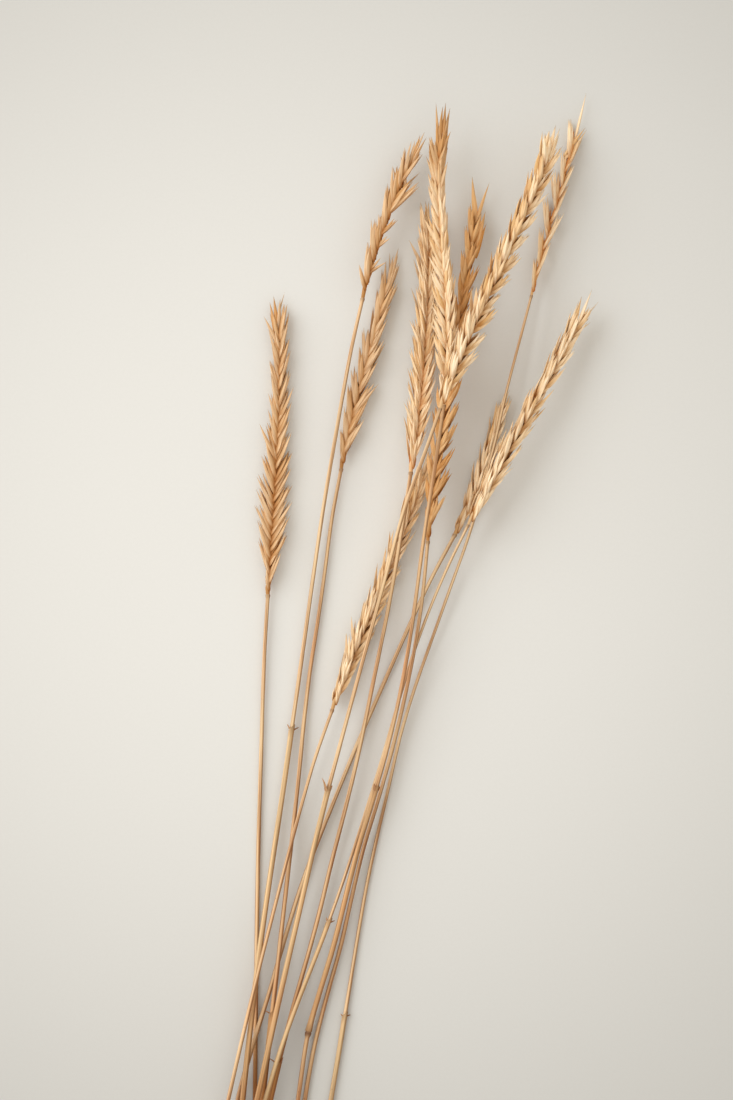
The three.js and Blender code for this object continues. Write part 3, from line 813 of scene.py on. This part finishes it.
def straw_rings(name, settings):
    """A straw's rings: in at the hollow cut end, then along the straw over its knots."""
    line = LINES[name]
    knot, length = line.at(STALKS[name]["knot"]), line.neck - NECK_GAP
    swellings = [(knot + off * MM, swell) for off, swell in KNOT_RINGS]
    swellings += [(length + off * MM, swell) for off, swell in NECK_RINGS]
    count = round(length / settings.ring_spacing)
    rng = random.Random(f"straw {name}")
    plain = [(length * i / count, rng.uniform(*STRAW_UNEVEN)) for i in range(count)]
    clear = [
        ring for ring in plain if all(abs(ring[0] - s[0]) > KNOT_CLEARANCE for s in swellings)
    ]
    inside = bare_radius(name, 0) - settings.wall
    rings = [(HOLLOW_DEPTH, inside), (CUT_EDGE, inside)]
    for place, swell in sorted(clear + swellings):
        rings.append((place, bare_radius(name, place) * swell))
    return rings


def knot_shade(name, places):
    """How dark each place of a straw is, for being near its cut end, its knot or its neck."""
    line = LINES[name]
    from_knot = places - line.at(STALKS[name]["knot"])
    from_neck = places - (line.neck - NECK_OVERLAP)
    cut_end = CUT_DARK * np.exp(-np.abs(places) / CUT_FADES)
    knot = KNOT_DARK * np.exp(-((from_knot / KNOT_FADES) ** 2))
    neck = NECK_DARK * np.exp(-((from_neck / NECK_FADES) ** 2))
    return np.maximum.reduce([cut_end, knot, neck])


def straw_piece(name, settings):
    """A straw in the straight."""
    rings = straw_rings(name, settings)
    along, radius = rings[0]
    start_piece(settings.sides, radius, along)
    draw_rings(rings)
    return finish_piece(f"straw_{name}")


class WHEAT_OT_straws(bpy.types.Operator):
    """Model the straws with their knots and cut ends, and lay them on their lines"""

    bl_idname = "wheat.straws"
    bl_label = "Straws"

    def execute(self, context):
        settings = context.scene.wheat_straw
        straw = straw_material("straw", settings.pale, settings.dark, settings)
        for name, line in LINES.items():
            rod = straw_piece(name, settings)
            record_straw(rod, name, knot_shade(name, coordinates(rod.data)[:, 0]))
            smooth_faces(rod, sharper_than=50)
            lay_on(rod, line)
            dress(rod, straw, f"stem_{name}")
        return {"FINISHED"}


# Leaf sheaths ------------------

SHEATH_SIDES = 16
SHEATH_START = 0.8 * MM  # above the knot that it grows from
FOOT_RING = 1.1  # radius of the ring that closes its foot, in straw radii
FOOT_SWELL, FOOT_REACH = 0.35, 3 * MM  # how much wider its foot is, and how far that reaches
MOUTH_SLACK, MOUTH_REACH = 0.12 * MM, 6 * MM  # how far it stands off the straw at its mouth
SHEATH_UNEVEN = (0.985, 1.015)
PRESSED = 0.85  # a sheath's wall adds this share of itself to the radius, being pressed on
SEAM_AT = math.radians(70)
SEAM_STEP = 0.14 * MM  # how far the sheath's edge stands out where it laps over
MOUTH_AT = math.radians(160)  # the side where the slanting mouth is highest
MOUTH_SLANT = 1.3 * MM
MOUTH_RAGGED = 0.3  # in millimetres
MOUTH_RIM = 0.88  # inner radius of the rim as a share of the outer one
MOUTH_DEPTH = 3.0 * MM
SAME_RING = 0.01 * MM  # points of a ring are no farther than this from its place
SHEATH_EDGE = 0.05 * MM  # thickness of its thin rim, and its gap from the straw
# How dark a sheath is at its mouth and foot, and how far away that fades.
MOUTH_DARK, MOUTH_FADES = 0.6, 1.0 * MM
FOOT_DARK, FOOT_FADES = 0.8, 1.6 * MM


def open_seam(piece, radius):
    """Turns the first ring of a sheath into a lap, where one edge lies over the other."""
    mesh = bmesh.from_edit_mesh(piece.data)
    for vertex in mesh.verts:
        turn = (math.atan2(vertex.co.z, vertex.co.y) - SEAM_AT) % (2 * math.pi)
        out = 1 + SEAM_STEP / radius * turn / (2 * math.pi)
        vertex.co.y *= out
        vertex.co.z *= out
    bmesh.update_edit_mesh(piece.data)


def sheath_rings(name, start, end, settings, rng):
    """A sheath's rings from its foot, which swells over the knot, to its mouth."""
    count = round((end - start) / settings.ring_spacing)
    rings = [(start, bare_radius(name, start) * FOOT_RING)]
    for i in range(count + 1):
        along = start + (end - start) * i / count
        swell = FOOT_SWELL * math.exp(-(along - start) / FOOT_REACH)
        slack = MOUTH_SLACK * math.exp(-(end - along) / MOUTH_REACH)
        radius = bare_radius(name, along) * (1 + swell) + settings.sheath_wall * PRESSED + slack
        rings.append((along, radius * rng.uniform(*SHEATH_UNEVEN)))
    return rings


def sheath_piece(name, settings):
    """A leaf sheath from its knot to a ragged slanting mouth, with its edge lapped over."""
    line = LINES[name]
    start, end = line.at(STALKS[name]["knot"]) + SHEATH_START, line.at(STALKS[name]["mouth"])
    rng = random.Random(f"sheath {name}")
    rings = sheath_rings(name, start, end, settings, rng)
    piece = start_piece(SHEATH_SIDES, rings[0][1], start)
    open_seam(piece, rings[0][1])
    draw_rings(rings)
    along, radius = rings[-1]
    tear_mouth(piece, along, rng)
    draw_out((-SHEATH_EDGE, 0, 0), (MOUTH_RIM, MOUTH_RIM), (along, 0, 0))
    inner = bare_radius(name, end) + SHEATH_EDGE
    draw_out((-MOUTH_DEPTH, 0, 0), (inner / radius / MOUTH_RIM,) * 2, (along, 0, 0))
    return finish_piece(f"sheath_{name}")


def tear_mouth(piece, end, rng):
    """Slants the last ring of a sheath and makes it ragged."""
    mesh = bmesh.from_edit_mesh(piece.data)
    for vertex in mesh.verts:
        if vertex.select and abs(vertex.co.x - end) < SAME_RING:
            turn = math.atan2(vertex.co.z, vertex.co.y)
            vertex.co.x += MOUTH_SLANT * math.cos(turn - MOUTH_AT)
            vertex.co.x += rng.uniform(-MOUTH_RAGGED, MOUTH_RAGGED) * MM
    bmesh.update_edit_mesh(piece.data)


def sheath_shade(name, places):
    """How dark each place of a sheath is, for being near its mouth or its foot."""
    line = LINES[name]
    from_mouth = line.at(STALKS[name]["mouth"]) - places
    from_knot = places - line.at(STALKS[name]["knot"])
    mouth = MOUTH_DARK * np.exp(-np.abs(from_mouth) / MOUTH_FADES)
    return mouth + FOOT_DARK * np.exp(-from_knot / FOOT_FADES)


class WHEAT_OT_sheaths(bpy.types.Operator):
    """Model the leaf sheaths round the lower parts of the straws"""

    bl_idname = "wheat.sheaths"
    bl_label = "Leaf sheaths"

    def execute(self, context):
        settings = context.scene.wheat_straw
        paper = straw_material(
            "leaf sheath", settings.sheath, shade(settings.sheath, 0.66), settings
        )
        for name, features in STALKS.items():
            if "mouth" not in features:
                continue
            sheath = sheath_piece(name, settings)
            record_straw(sheath, name, sheath_shade(name, coordinates(sheath.data)[:, 0]))
            smooth_faces(sheath, sharper_than=40)
            lay_on(sheath, LINES[name])
            dress(sheath, paper, f"stem_{name}")
        return {"FINISHED"}


# Husks -------------------------

HUSK_SIDES = 6
INNER_SIDE_WIDTH = 1.1  # a husk is widest at its margins, next to its inner side ...
OUTER_SIDE_WIDTH = 0.72  # ... and narrower on the outer side
INNER_SIDE_DEPTH = 0.14  # how far a husk's inner side stands out, where its keel stands out 1
BOWS = (0.25, 0.5, 0.8)
SWEEPS = (-0.25, 0.25)  # how far a husk's tip turns aside, as a share of its length
HUSK_END = 1.08  # no husk is longer than this, so its colours end there
# Which part of a husk's colours, from its brown root to its dry point, each kind of husk has. A
# topmost one has no brown root, because all of it is in the open, an awn is all dry point, and an
# inner one, which fills the ear behind the others, is brown all over: partly a husk's own brown and
# partly painted shade behind the others.
COLOUR_SPANS = {
    "covered": (0, 1), "topmost": (0.5, 1), "awn": (0.955, 0.955), "inner": (0.02, 0.16),
}


def straight_husk(name, rings, bow, sweep):
    """A husk one unit long, wide and deep: its keel up, its inner side nearly flat."""
    piece = start_piece(HUSK_SIDES, 1, 0)
    bpy.ops.transform.rotate(
        value=math.pi / HUSK_SIDES, orient_axis="X", center_override=(0, 0, 0)
    )
    mesh = bmesh.from_edit_mesh(piece.data)
    for vertex in mesh.verts:
        inner = vertex.co.z < 0
        vertex.co.y *= INNER_SIDE_WIDTH if inner else OUTER_SIDE_WIDTH
        vertex.co.z *= INNER_SIDE_DEPTH if inner else 1
        vertex.co.y /= 2
    bmesh.update_edit_mesh(piece.data)
    along, wide, high, arch = rings[0]
    bpy.ops.transform.resize(value=(1, wide, high), center_override=(0, 0, 0))
    aside = 0
    for next_along, next_wide, next_high, next_arch in rings[1:]:
        next_aside = sweep * next_along**2
        step = (next_along - along, next_aside - aside, (next_arch - arch) * bow)
        centre = (next_along, next_aside, next_arch * bow)
        draw_out(step, (next_wide / wide, next_high / high), centre)
        along, wide, high, arch, aside = next_along, next_wide, next_high, next_arch, next_aside
    piece = finish_piece(name, merge_tip=True)
    smooth_faces(piece, sharper_than=48)
    return piece


def husk_models():
    """The few husks that all others are copies of."""
    return {
        kind: [
            straight_husk(f"{kind} model", rings, bow, sweep) for bow in BOWS for sweep in SWEEPS
        ]
        for kind, rings in (("glume", GLUME_RINGS), ("lemma", LEMMA_RINGS))
    }


def place_husk(model, root, direction, outward, size, tint, kind="covered"):
    """A copy of a husk from its root along a direction, with its keel outward."""
    piece = bpy.data.objects.new("husk", model.data.copy())
    bpy.context.scene.collection.objects.link(piece)
    unit = coordinates(piece.data)
    low, high = COLOUR_SPANS[kind]
    share = low + (high - low) * unit[:, 0] / HUSK_END
    across = np.clip(unit[:, 1] * 2 / INNER_SIDE_WIDTH, -1, 1)
    places = np.stack([share, across, np.full(len(unit), tint)], axis=1)
    record_attribute(piece.data, "place", "FLOAT_VECTOR", places)
    stand(piece.data, root, direction, outward, size)
    return piece


# Leaf remnants -----------------

# What is left of leaf blades at the sheaths' mouths: place along Y, the way it stands with 0 for
# left, 90 for up and 180 for right, its lean from the straw, length, width and curl, in millimetres
# and degrees, with the curl as a share of the thickness.
REMNANTS = {
    "left_outer": [(-2.8, 20, 26, 2.0, 1.2, 0.6), (-3.0, 165, 44, 2.4, 1.0, 0.8)],
    "diagonal": [(-26.4, 25, 14, 5.2, 3.0, 2.4), (-26.0, 140, 10, 2.4, 1.6, 0.4)],
    "middle_tall": [(-26.2, 50, 12, 3.0, 1.8, 0.8), (-25.8, 160, 14, 1.8, 1.0, 0.2)],
    "right": [(-75.8, 20, 26, 1.4, 1.0, 0.3), (-75.8, 170, 42, 1.9, 0.9, 0.5)],
    "slim_right": [(-111.8, 8, 55, 1.1, 1.2, 0.3), (-111.6, 172, 58, 1.6, 1.0, 0.4)],
    "left_inner": [(-110.6, 5, 62, 2.0, 1.0, 0.4), (-110.6, 170, 50, 1.7, 1.0, 0.4)],
    "middle_left": [(-129.8, 8, 56, 3.4, 2.0, 1.0), (-129.2, 120, 22, 2.6, 1.2, 0.6)],
}
# A remnant in the straight, in the form that husks have.
REMNANT_RINGS = [
    (0.00, 1.00, 1.00, 0.00),
    (0.25, 0.95, 0.90, 0.15),
    (0.50, 0.75, 0.80, 0.45),
    (0.75, 0.45, 0.60, 0.95),
    (1.00, 0.05, 0.10, 1.60),
]
REMNANT_THICKNESS = 0.5 * MM
REMNANT_DARK = 0.15


def remnant(name, along, turn, lean, size, curl):
    """A small dry blade that stands off a straw at its sheath's mouth and curls outward."""
    turn, lean = math.radians(turn), math.radians(lean)
    outward = Vector((0, math.cos(turn), math.sin(turn)))
    direction = Vector((math.cos(lean), 0, 0)) + outward * math.sin(lean)
    root = Vector((along, 0, 0)) + outward * bare_radius(name, along)
    blade = straight_husk(f"remnant_{name}", REMNANT_RINGS, curl, 0.0)
    stand(blade.data, root, direction, outward, size)
    return blade


class WHEAT_OT_remnants(bpy.types.Operator):
    """Model what is left of the leaf blades at the mouths of the sheaths"""

    bl_idname = "wheat.remnants"
    bl_label = "Leaf remnants"

    def execute(self, context):
        settings = context.scene.wheat_straw
        body = blend(settings.sheath, settings.dark, 0.75)
        paper = straw_material("leaf remnant", body, shade(settings.dark, 0.8), settings)
        for name, blades in REMNANTS.items():
            line = LINES[name]
            pieces = []
            for y, turn, lean, length, width, curl in blades:
                size = (length * MM, width * MM, REMNANT_THICKNESS)
                pieces.append(remnant(name, line.at(y), turn, lean, size, curl))
            scraps = one_object(pieces, f"leaf_remnants_{name}")
            record_straw(scraps, name, np.full(len(scraps.data.vertices), REMNANT_DARK))
            lay_on(scraps, line)
            dress(scraps, paper, f"stem_{name}")
        return {"FINISHED"}


# Spikelets ---------------------

ALONG = Vector((1, 0, 0))
FIRST_SPIKELET = 1.2 * MM  # above the ear's foot
PLACE_UNEVEN = 0.2  # of their spacing
SIZE_GROWTH = 0.10  # from each to the next, until they have their full size
SIZE_UNEVEN = (0.95, 1.05)
FOOT_LEAN = 0.6  # the lowest spikelet leans out by this share of the others' lean ...
FOOT_SPIKELETS = 4  # ... and those above it by more, until this one
LEAN_CHANGES_FROM, LEAN_CHANGES_OVER = 0.2, 0.65  # shares of the ear
LEAN_UNEVEN, FAN_UNEVEN = 1.4, 1.5  # standard deviations for a spikelet, in degrees ...
HUSK_LEAN_UNEVEN, HUSK_FAN_UNEVEN = 0.9, 1.0  # ... and for its husks
DISORDER = 2.2  # the husks of dense spikelets are this much more uneven
STALKLET_LEAN = 0.85  # and their own axis leans out by this share of the husks' lean
STRAY_LEAN = 1.4  # how much more a stray husk leans out
LENGTH_UNEVEN, WIDTH_UNEVEN, DEPTH_UNEVEN = (0.94, 1.06), (0.9, 1.1), (0.9, 1.15)
KEEL_TURN = (0.1, 0.7)  # how far keels, which face across the ear, also face out with their row
FACE_NUDGE = 0.01  # so that no husk faces exactly along its row
GLUME_WIDTH = 0.8  # of a lemma's
ROOT_BEHIND = 0.45 * MM  # husks start on the far side of the axis, and so cover it ...
ROOT_RISE = 0.8 * MM  # ... and this far to the side that they face
# What the warmth of a husk's colour is made of: its spikelet's share, its own, and that of a husk
# that starts farther up than this.
SPIKELET_WARMTH, HUSK_WARMTH, START_WARMTH, START_LOWEST = 0.5, 0.3, 2.0, 0.04
# The inner husk, against a lemma. Spikelets smaller than this have none.
INNER_FROM_SIZE = 0.85
INNER_LEAN, INNER_LENGTH, INNER_DEPTH, INNER_WARMTH = 0.6, 0.78, 0.6, 0.5
INNER_BELOW = 0.4 * MM


def lean_at(features, share, side):
    """How far the husks lean out at a share of the ear: closer to the axis near the tip."""
    spread = features["spread"][0 if side < 0 else 1]
    low, high = (lean * spread for lean in features["lean"])
    change = min(1, max(0, (share - LEAN_CHANGES_FROM) / LEAN_CHANGES_OVER))
    return low + (high - low) * smoothstep(change)


def row_axes(features, side):
    """The way that a row of spikelets faces, and the way across it."""
    roll = math.radians(features["roll"])
    row = Vector((0, -math.cos(roll), math.sin(roll))) * side
    return row, Vector((0, math.sin(roll), math.cos(roll)))


def spikelet(models, features, settings, spot, rng):
    """The husks of one spikelet, on one side of the ear."""
    along, side, size, own_lean, count = spot
    row, across = row_axes(features, side)
    length = features["husk"] * MM * size
    own_fan = rng.gauss(0, FAN_UNEVEN)
    own_warmth = rng.random()
    parts, stalklet, disorder = NEAT_SPIKELET, ALONG, 1.0
    if not features["neat"]:
        parts, disorder = DENSE_SPIKELET, DISORDER
        stalklet = (ALONG + row * tangent(own_lean * STALKLET_LEAN)).normalized()
    husks = []
    for kind, start, reach, face, fan_share, lean_share in parts[:count]:
        stray = STRAY_LEAN if rng.random() < settings.stray else 1.0
        lean = own_lean * lean_share * stray + disorder * rng.gauss(0, HUSK_LEAN_UNEVEN)
        fan = own_fan + face * features["fan"] * fan_share
        fan += disorder * rng.gauss(0, HUSK_FAN_UNEVEN)
        direction = (ALONG + row * tangent(lean) + across * tangent(fan)).normalized()
        outward = row * rng.uniform(*KEEL_TURN) + across * (face + FACE_NUDGE)
        root = Vector((along, 0, 0)) - row * ROOT_BEHIND + across * face * ROOT_RISE
        root += stalklet * (start * length)
        width = settings.width * features["wide"] * math.sqrt(size)
        width *= GLUME_WIDTH if kind == "glume" else 1
        stretch = length * reach * rng.uniform(*LENGTH_UNEVEN)
        depth = settings.depth * math.sqrt(size) * rng.uniform(*DEPTH_UNEVEN)
        warmth = SPIKELET_WARMTH * own_warmth + HUSK_WARMTH * rng.random()
        warmth += START_WARMTH * (start - START_LOWEST)
        tint = min(1, max(0, warmth))
        bulk = (stretch, width * rng.uniform(*WIDTH_UNEVEN), depth)
        husks.append(place_husk(rng.choice(models[kind]), root, direction, outward, bulk, tint))
    if size >= INNER_FROM_SIZE:
        husks.append(inner_husk(models, features, settings, spot))
    return husks


def inner_husk(models, features, settings, spot):
    """The broad husk that fills a spikelet behind the others, brown all over: partly a husk's own
    brown and partly painted shade behind the others.
    """
    along, side, size, own_lean, _ = spot
    row, across = row_axes(features, side)
    direction = (ALONG + row * tangent(own_lean * INNER_LEAN)).normalized()
    root = Vector((along, 0, 0)) - row * ROOT_BEHIND - across * INNER_BELOW
    length = features["husk"] * MM * size * INNER_LENGTH
    width = settings.width * features["inner"] * size
    bulk = (length, width, settings.depth * INNER_DEPTH)
    return place_husk(models["glume"][0], root, direction, across, bulk, INNER_WARMTH, "inner")


def spikelets_of(name, rng):
    """An ear's spikelets from its foot to its tip: place, side, size, lean and count of husks."""
    line, features = LINES[name], STALKS[name]
    if name in LOOSE_EARS:
        return [(line.at(y), *rest) for y, *rest in LOOSE_EARS[name]]
    first = line.neck + FIRST_SPIKELET
    last = line.end - (features["husk"] + features["crown"]) * MM
    spacing = features["spacing"] * MM
    count = round((last - first) / spacing)
    found = []
    for i in range(count + 1):
        share, side = i / count, 1 if i % 2 else -1
        along = first + (last - first) * share
        along += rng.uniform(-PLACE_UNEVEN, PLACE_UNEVEN) * spacing
        size = min(1, features["first"] + SIZE_GROWTH * i) * rng.uniform(*SIZE_UNEVEN)
        gathered = min(1, FOOT_LEAN + (1 - FOOT_LEAN) * i / FOOT_SPIKELETS)
        lean = lean_at(features, share, side) * gathered + rng.gauss(0, LEAN_UNEVEN)
        found.append((along, side, size, lean, features["husks"]))
    return found


# Ears --------------------------

AWN_WIDTH = 0.55  # topmost husks narrower than this share are bare awns
TIP_REACH = 1.02  # topmost husks are this much longer than the measured part
TIP_LAYERS = 0.4 * MM  # they lie in three layers, this far apart ...
TIP_RISE, TIP_TURN = 0.04, 0.3  # ... and point and face apart this much
RACHIS_SIDES = 8
RACHIS_FOOT, RACHIS_TAPER = 1.25, 0.75  # radius at the foot and what it loses, in straw radii
RACHIS_ENDS = 0.8  # husk lengths short of the tip
RACHIS_ZIGZAG = 0.3 * MM
RACHIS_COLOUR, RACHIS_STRIPE, RACHIS_TINT = 0.30, 0.1, 0.6
# Painted shade deep in an ear: none beyond OPEN_FROM, full within DEEP_WITHIN of its axis.
OPEN_FROM = 2.5 * MM  # husks farther than this from the axis are in the open
DEEP_WITHIN = 0.6 * MM
PAINTED_SHADE_SIDE_DEPTH = 0.75  # painted shade: husks on the side away from the key light are painted as brown as at this depth
RIPE_TIP = (20 * MM, 38 * MM)  # where the colour of an ear's tip starts to give way, and ends


def plain_tip(line):
    """The topmost husks of an ear that has none in TIPS, in the same form."""
    end, ahead = line.points[-1] / MM, line.ahead
    husks = []
    for off in PLAIN_TIP:
        down = -PLAIN_DOWN * abs(off)
        x = end[0] + ahead[1] * off + ahead[0] * down
        y = end[1] - ahead[0] * off + ahead[1] * down
        husks.append((x, y, line.heading() + PLAIN_TURN * off, PLAIN_LENGTH, PLAIN_WIDTH))
    return husks


def topmost_husks(name, models, settings, rng):
    """The husks at the very tip of an ear, each where it is seen to end."""
    line = LINES[name]
    husks = []
    for i, (x, y, turn, length, share) in enumerate(TIPS.get(name) or plain_tip(line)):
        layer = i % 3 - 1
        along, left = line.beside(x, y)
        aside = math.radians(line.heading() - turn)
        direction = Vector((math.cos(aside), math.sin(aside), TIP_RISE * layer))
        outward = Vector((0, TIP_TURN * layer, 1))
        root = Vector((along, left, TIP_LAYERS * layer)) - direction * length * MM * TIP_REACH
        bulk = (length * MM, settings.width * share, settings.depth * min(1, share))
        kind = "awn" if share < AWN_WIDTH else "topmost"
        model = models["lemma"][i % len(models["lemma"])]
        husks.append(place_husk(model, root, direction, outward, bulk, rng.random(), kind))
    return husks


def rachis(name):
    """The ear's thin axis, with a small step to each side where a spikelet grows."""
    line, features = LINES[name], STALKS[name]
    straw = bare_radius(name, line.neck)
    roll = math.radians(features["roll"])
    spacing = features["spacing"] * MM
    along, radius = line.neck - NECK_OVERLAP, straw
    start_piece(RACHIS_SIDES, radius, along)
    place, side = Vector((along, 0, 0)), -1
    while along + spacing < line.end - features["husk"] * MM * RACHIS_ENDS:
        share = (along - line.neck) / (line.end - line.neck)
        zigzag = side * RACHIS_ZIGZAG
        target = Vector((along + spacing, -math.cos(roll) * zigzag, math.sin(roll) * zigzag))
        next_radius = straw * (RACHIS_FOOT - RACHIS_TAPER * share)
        scale = next_radius / radius
        draw_out(target - place, (scale, scale), target)
        place, radius, along, side = target, next_radius, along + spacing, -side
    axis = finish_piece(f"rachis_{name}")
    straight = coordinates(axis.data)
    stripes = RACHIS_COLOUR + RACHIS_STRIPE * ((straight[:, 0] / spacing) % 1)
    tints = np.full(len(straight), RACHIS_TINT)
    places = np.stack([stripes, 0 * tints, tints], axis=1)
    record_attribute(axis.data, "place", "FLOAT_VECTOR", places)
    smooth_faces(axis, sharper_than=60)
    return axis


def record_depth(ear):
    """Stores the painted shade among the husks: how deep each place is, from its distance to the
    ear's axis, and how far it is on the side away from the key light.
    """
    straight = coordinates(ear.data)
    away = np.hypot(straight[:, 1], straight[:, 2])
    depth = np.clip((OPEN_FROM - away) / (OPEN_FROM - DEEP_WITHIN), 0, 1)
    depth = np.maximum(smoothstep(depth), PAINTED_SHADE_SIDE_DEPTH * painted_shade_side(straight))
    record_attribute(ear.data, "depth", "FLOAT", depth)


def record_ripeness(ear, line, features):
    """Stores how golden brown each place along an ear is."""
    foot, tip = features["ripe"]
    short_of_tip = line.end - coordinates(ear.data)[:, 0]
    near_tip = np.clip((RIPE_TIP[1] - short_of_tip) / (RIPE_TIP[1] - RIPE_TIP[0]), 0, 1)
    record_attribute(ear.data, "ripe", "FLOAT", foot + (tip - foot) * near_tip)


def straight_ear(name, models, settings):
    """An ear in the straight, joined into one object with its axis."""
    rng = random.Random(f"ear {name}")
    husks = []
    for spot in spikelets_of(name, rng):
        husks += spikelet(models, STALKS[name], settings, spot, rng)
    husks += topmost_husks(name, models, settings, rng)
    ear = one_object([rachis(name), *husks], f"ear_of_{name}")
    record_depth(ear)
    record_ripeness(ear, LINES[name], STALKS[name])
    return ear


class WHEAT_OT_ears(bpy.types.Operator):
    """Model the ears, husk by husk, and lay them on their lines"""

    bl_idname = "wheat.ears"
    bl_label = "Ears"

    def execute(self, context):
        settings = context.scene.wheat_husk
        brown_roots = settings.root, PAINTED_DEEP_SHADE_BROWN, settings
        tan_roots = shade(settings.root, 1.3), PAINTED_DEEP_SHADE_TAN, settings
        finishes = {
            "tan": husk_material("tan husk", settings.tan, *brown_roots),
            "pale": husk_material("pale husk", settings.pale, *tan_roots),
            "fair": husk_material("fair husk", settings.pale, *brown_roots),
            "brown": husk_material("brown husk", settings.brown, *brown_roots),
        }
        models = husk_models()
        for name, line in LINES.items():
            finish = STALKS[name]["finish"]
            ear = straight_ear(name, models, settings)
            lay_on(ear, line)
            dress(ear, finishes[finish], f"ear_{name}")
        for model in models["glume"] + models["lemma"]:
            bpy.data.objects.remove(model)
        return {"FINISHED"}


# Stage -------------------------

FLOOR_SIZE = 30.0
FRAME_HEIGHT = 0.418  # what the picture covers, from its foot to its head
FRAME_MIDDLE = (-7.18 * MM, 65.08 * MM)
SENSOR = 36.0  # in millimetres, like the lens
KEY_FROM = (-0.86, 0.42, 0.64)  # towards the key light


class WHEAT_OT_stage(bpy.types.Operator):
    """Set up the floor, the soft light and the camera that looks straight down"""

    bl_idname = "wheat.stage"
    bl_label = "Stage"

    def execute(self, context):
        settings = context.scene.wheat_stage
        bpy.ops.object.select_all(action="DESELECT")
        bpy.ops.mesh.primitive_plane_add(size=FLOOR_SIZE)
        floor = context.object
        floor.name = "floor"
        floor.data.materials.append(floor_material(settings))
        bpy.ops.object.light_add(type="SUN", location=(0, 0, 2))
        key = context.object
        key.name = "key light"
        key.data.energy = settings.key_power
        key.data.angle = settings.key_width
        key.data.color = settings.key_colour
        key.rotation_euler = Vector(KEY_FROM).to_track_quat("Z", "Y").to_euler()
        world = bpy.data.worlds.new("fill light")
        world.use_nodes = True
        background = world.node_tree.nodes["Background"]
        background.inputs["Color"].default_value = (*settings.fill_colour, 1)
        background.inputs["Strength"].default_value = settings.fill_power
        context.scene.world = world
        bpy.ops.object.camera_add(
            location=(*FRAME_MIDDLE, settings.camera_height), rotation=(0, 0, 0)
        )
        camera = context.object
        camera.name = "camera"
        camera.data.lens = SENSOR * settings.camera_height / FRAME_HEIGHT
        camera.data.clip_end = 50
        context.scene.camera = camera
        context.scene.view_settings.view_transform = "Standard"
        return {"FINISHED"}


class WHEAT_PT_panel(bpy.types.Panel):
    """The steps of the bundle, in order"""

    bl_label = "Dried wheat bundle"
    bl_idname = "WHEAT_PT_panel"
    bl_space_type = "VIEW_3D"
    bl_region_type = "UI"
    bl_category = "Wheat"

    def draw(self, context):
        for operator in STEPS:
            self.layout.operator(operator.bl_idname)


STEPS = (
    WHEAT_OT_stage, WHEAT_OT_straws, WHEAT_OT_sheaths, WHEAT_OT_remnants, WHEAT_OT_ears,
)
SETTINGS = {"wheat_straw": StrawSettings, "wheat_husk": HuskSettings, "wheat_stage": StageSettings}


def register():
    for kind in (*SETTINGS.values(), *STEPS, WHEAT_PT_panel):
        bpy.utils.register_class(kind)
    for name, group in SETTINGS.items():
        setattr(bpy.types.Scene, name, bpy.props.PointerProperty(type=group))


def unregister():
    for name in SETTINGS:
        delattr(bpy.types.Scene, name)
    for kind in (WHEAT_PT_panel, *reversed(STEPS), *reversed(SETTINGS.values())):
        bpy.utils.unregister_class(kind)


def main():
    register()
    bpy.ops.wheat.stage()
    bpy.ops.wheat.straws()
    bpy.ops.wheat.sheaths()
    bpy.ops.wheat.remnants()
    bpy.ops.wheat.ears()


if __name__ == "__main__":
    main()
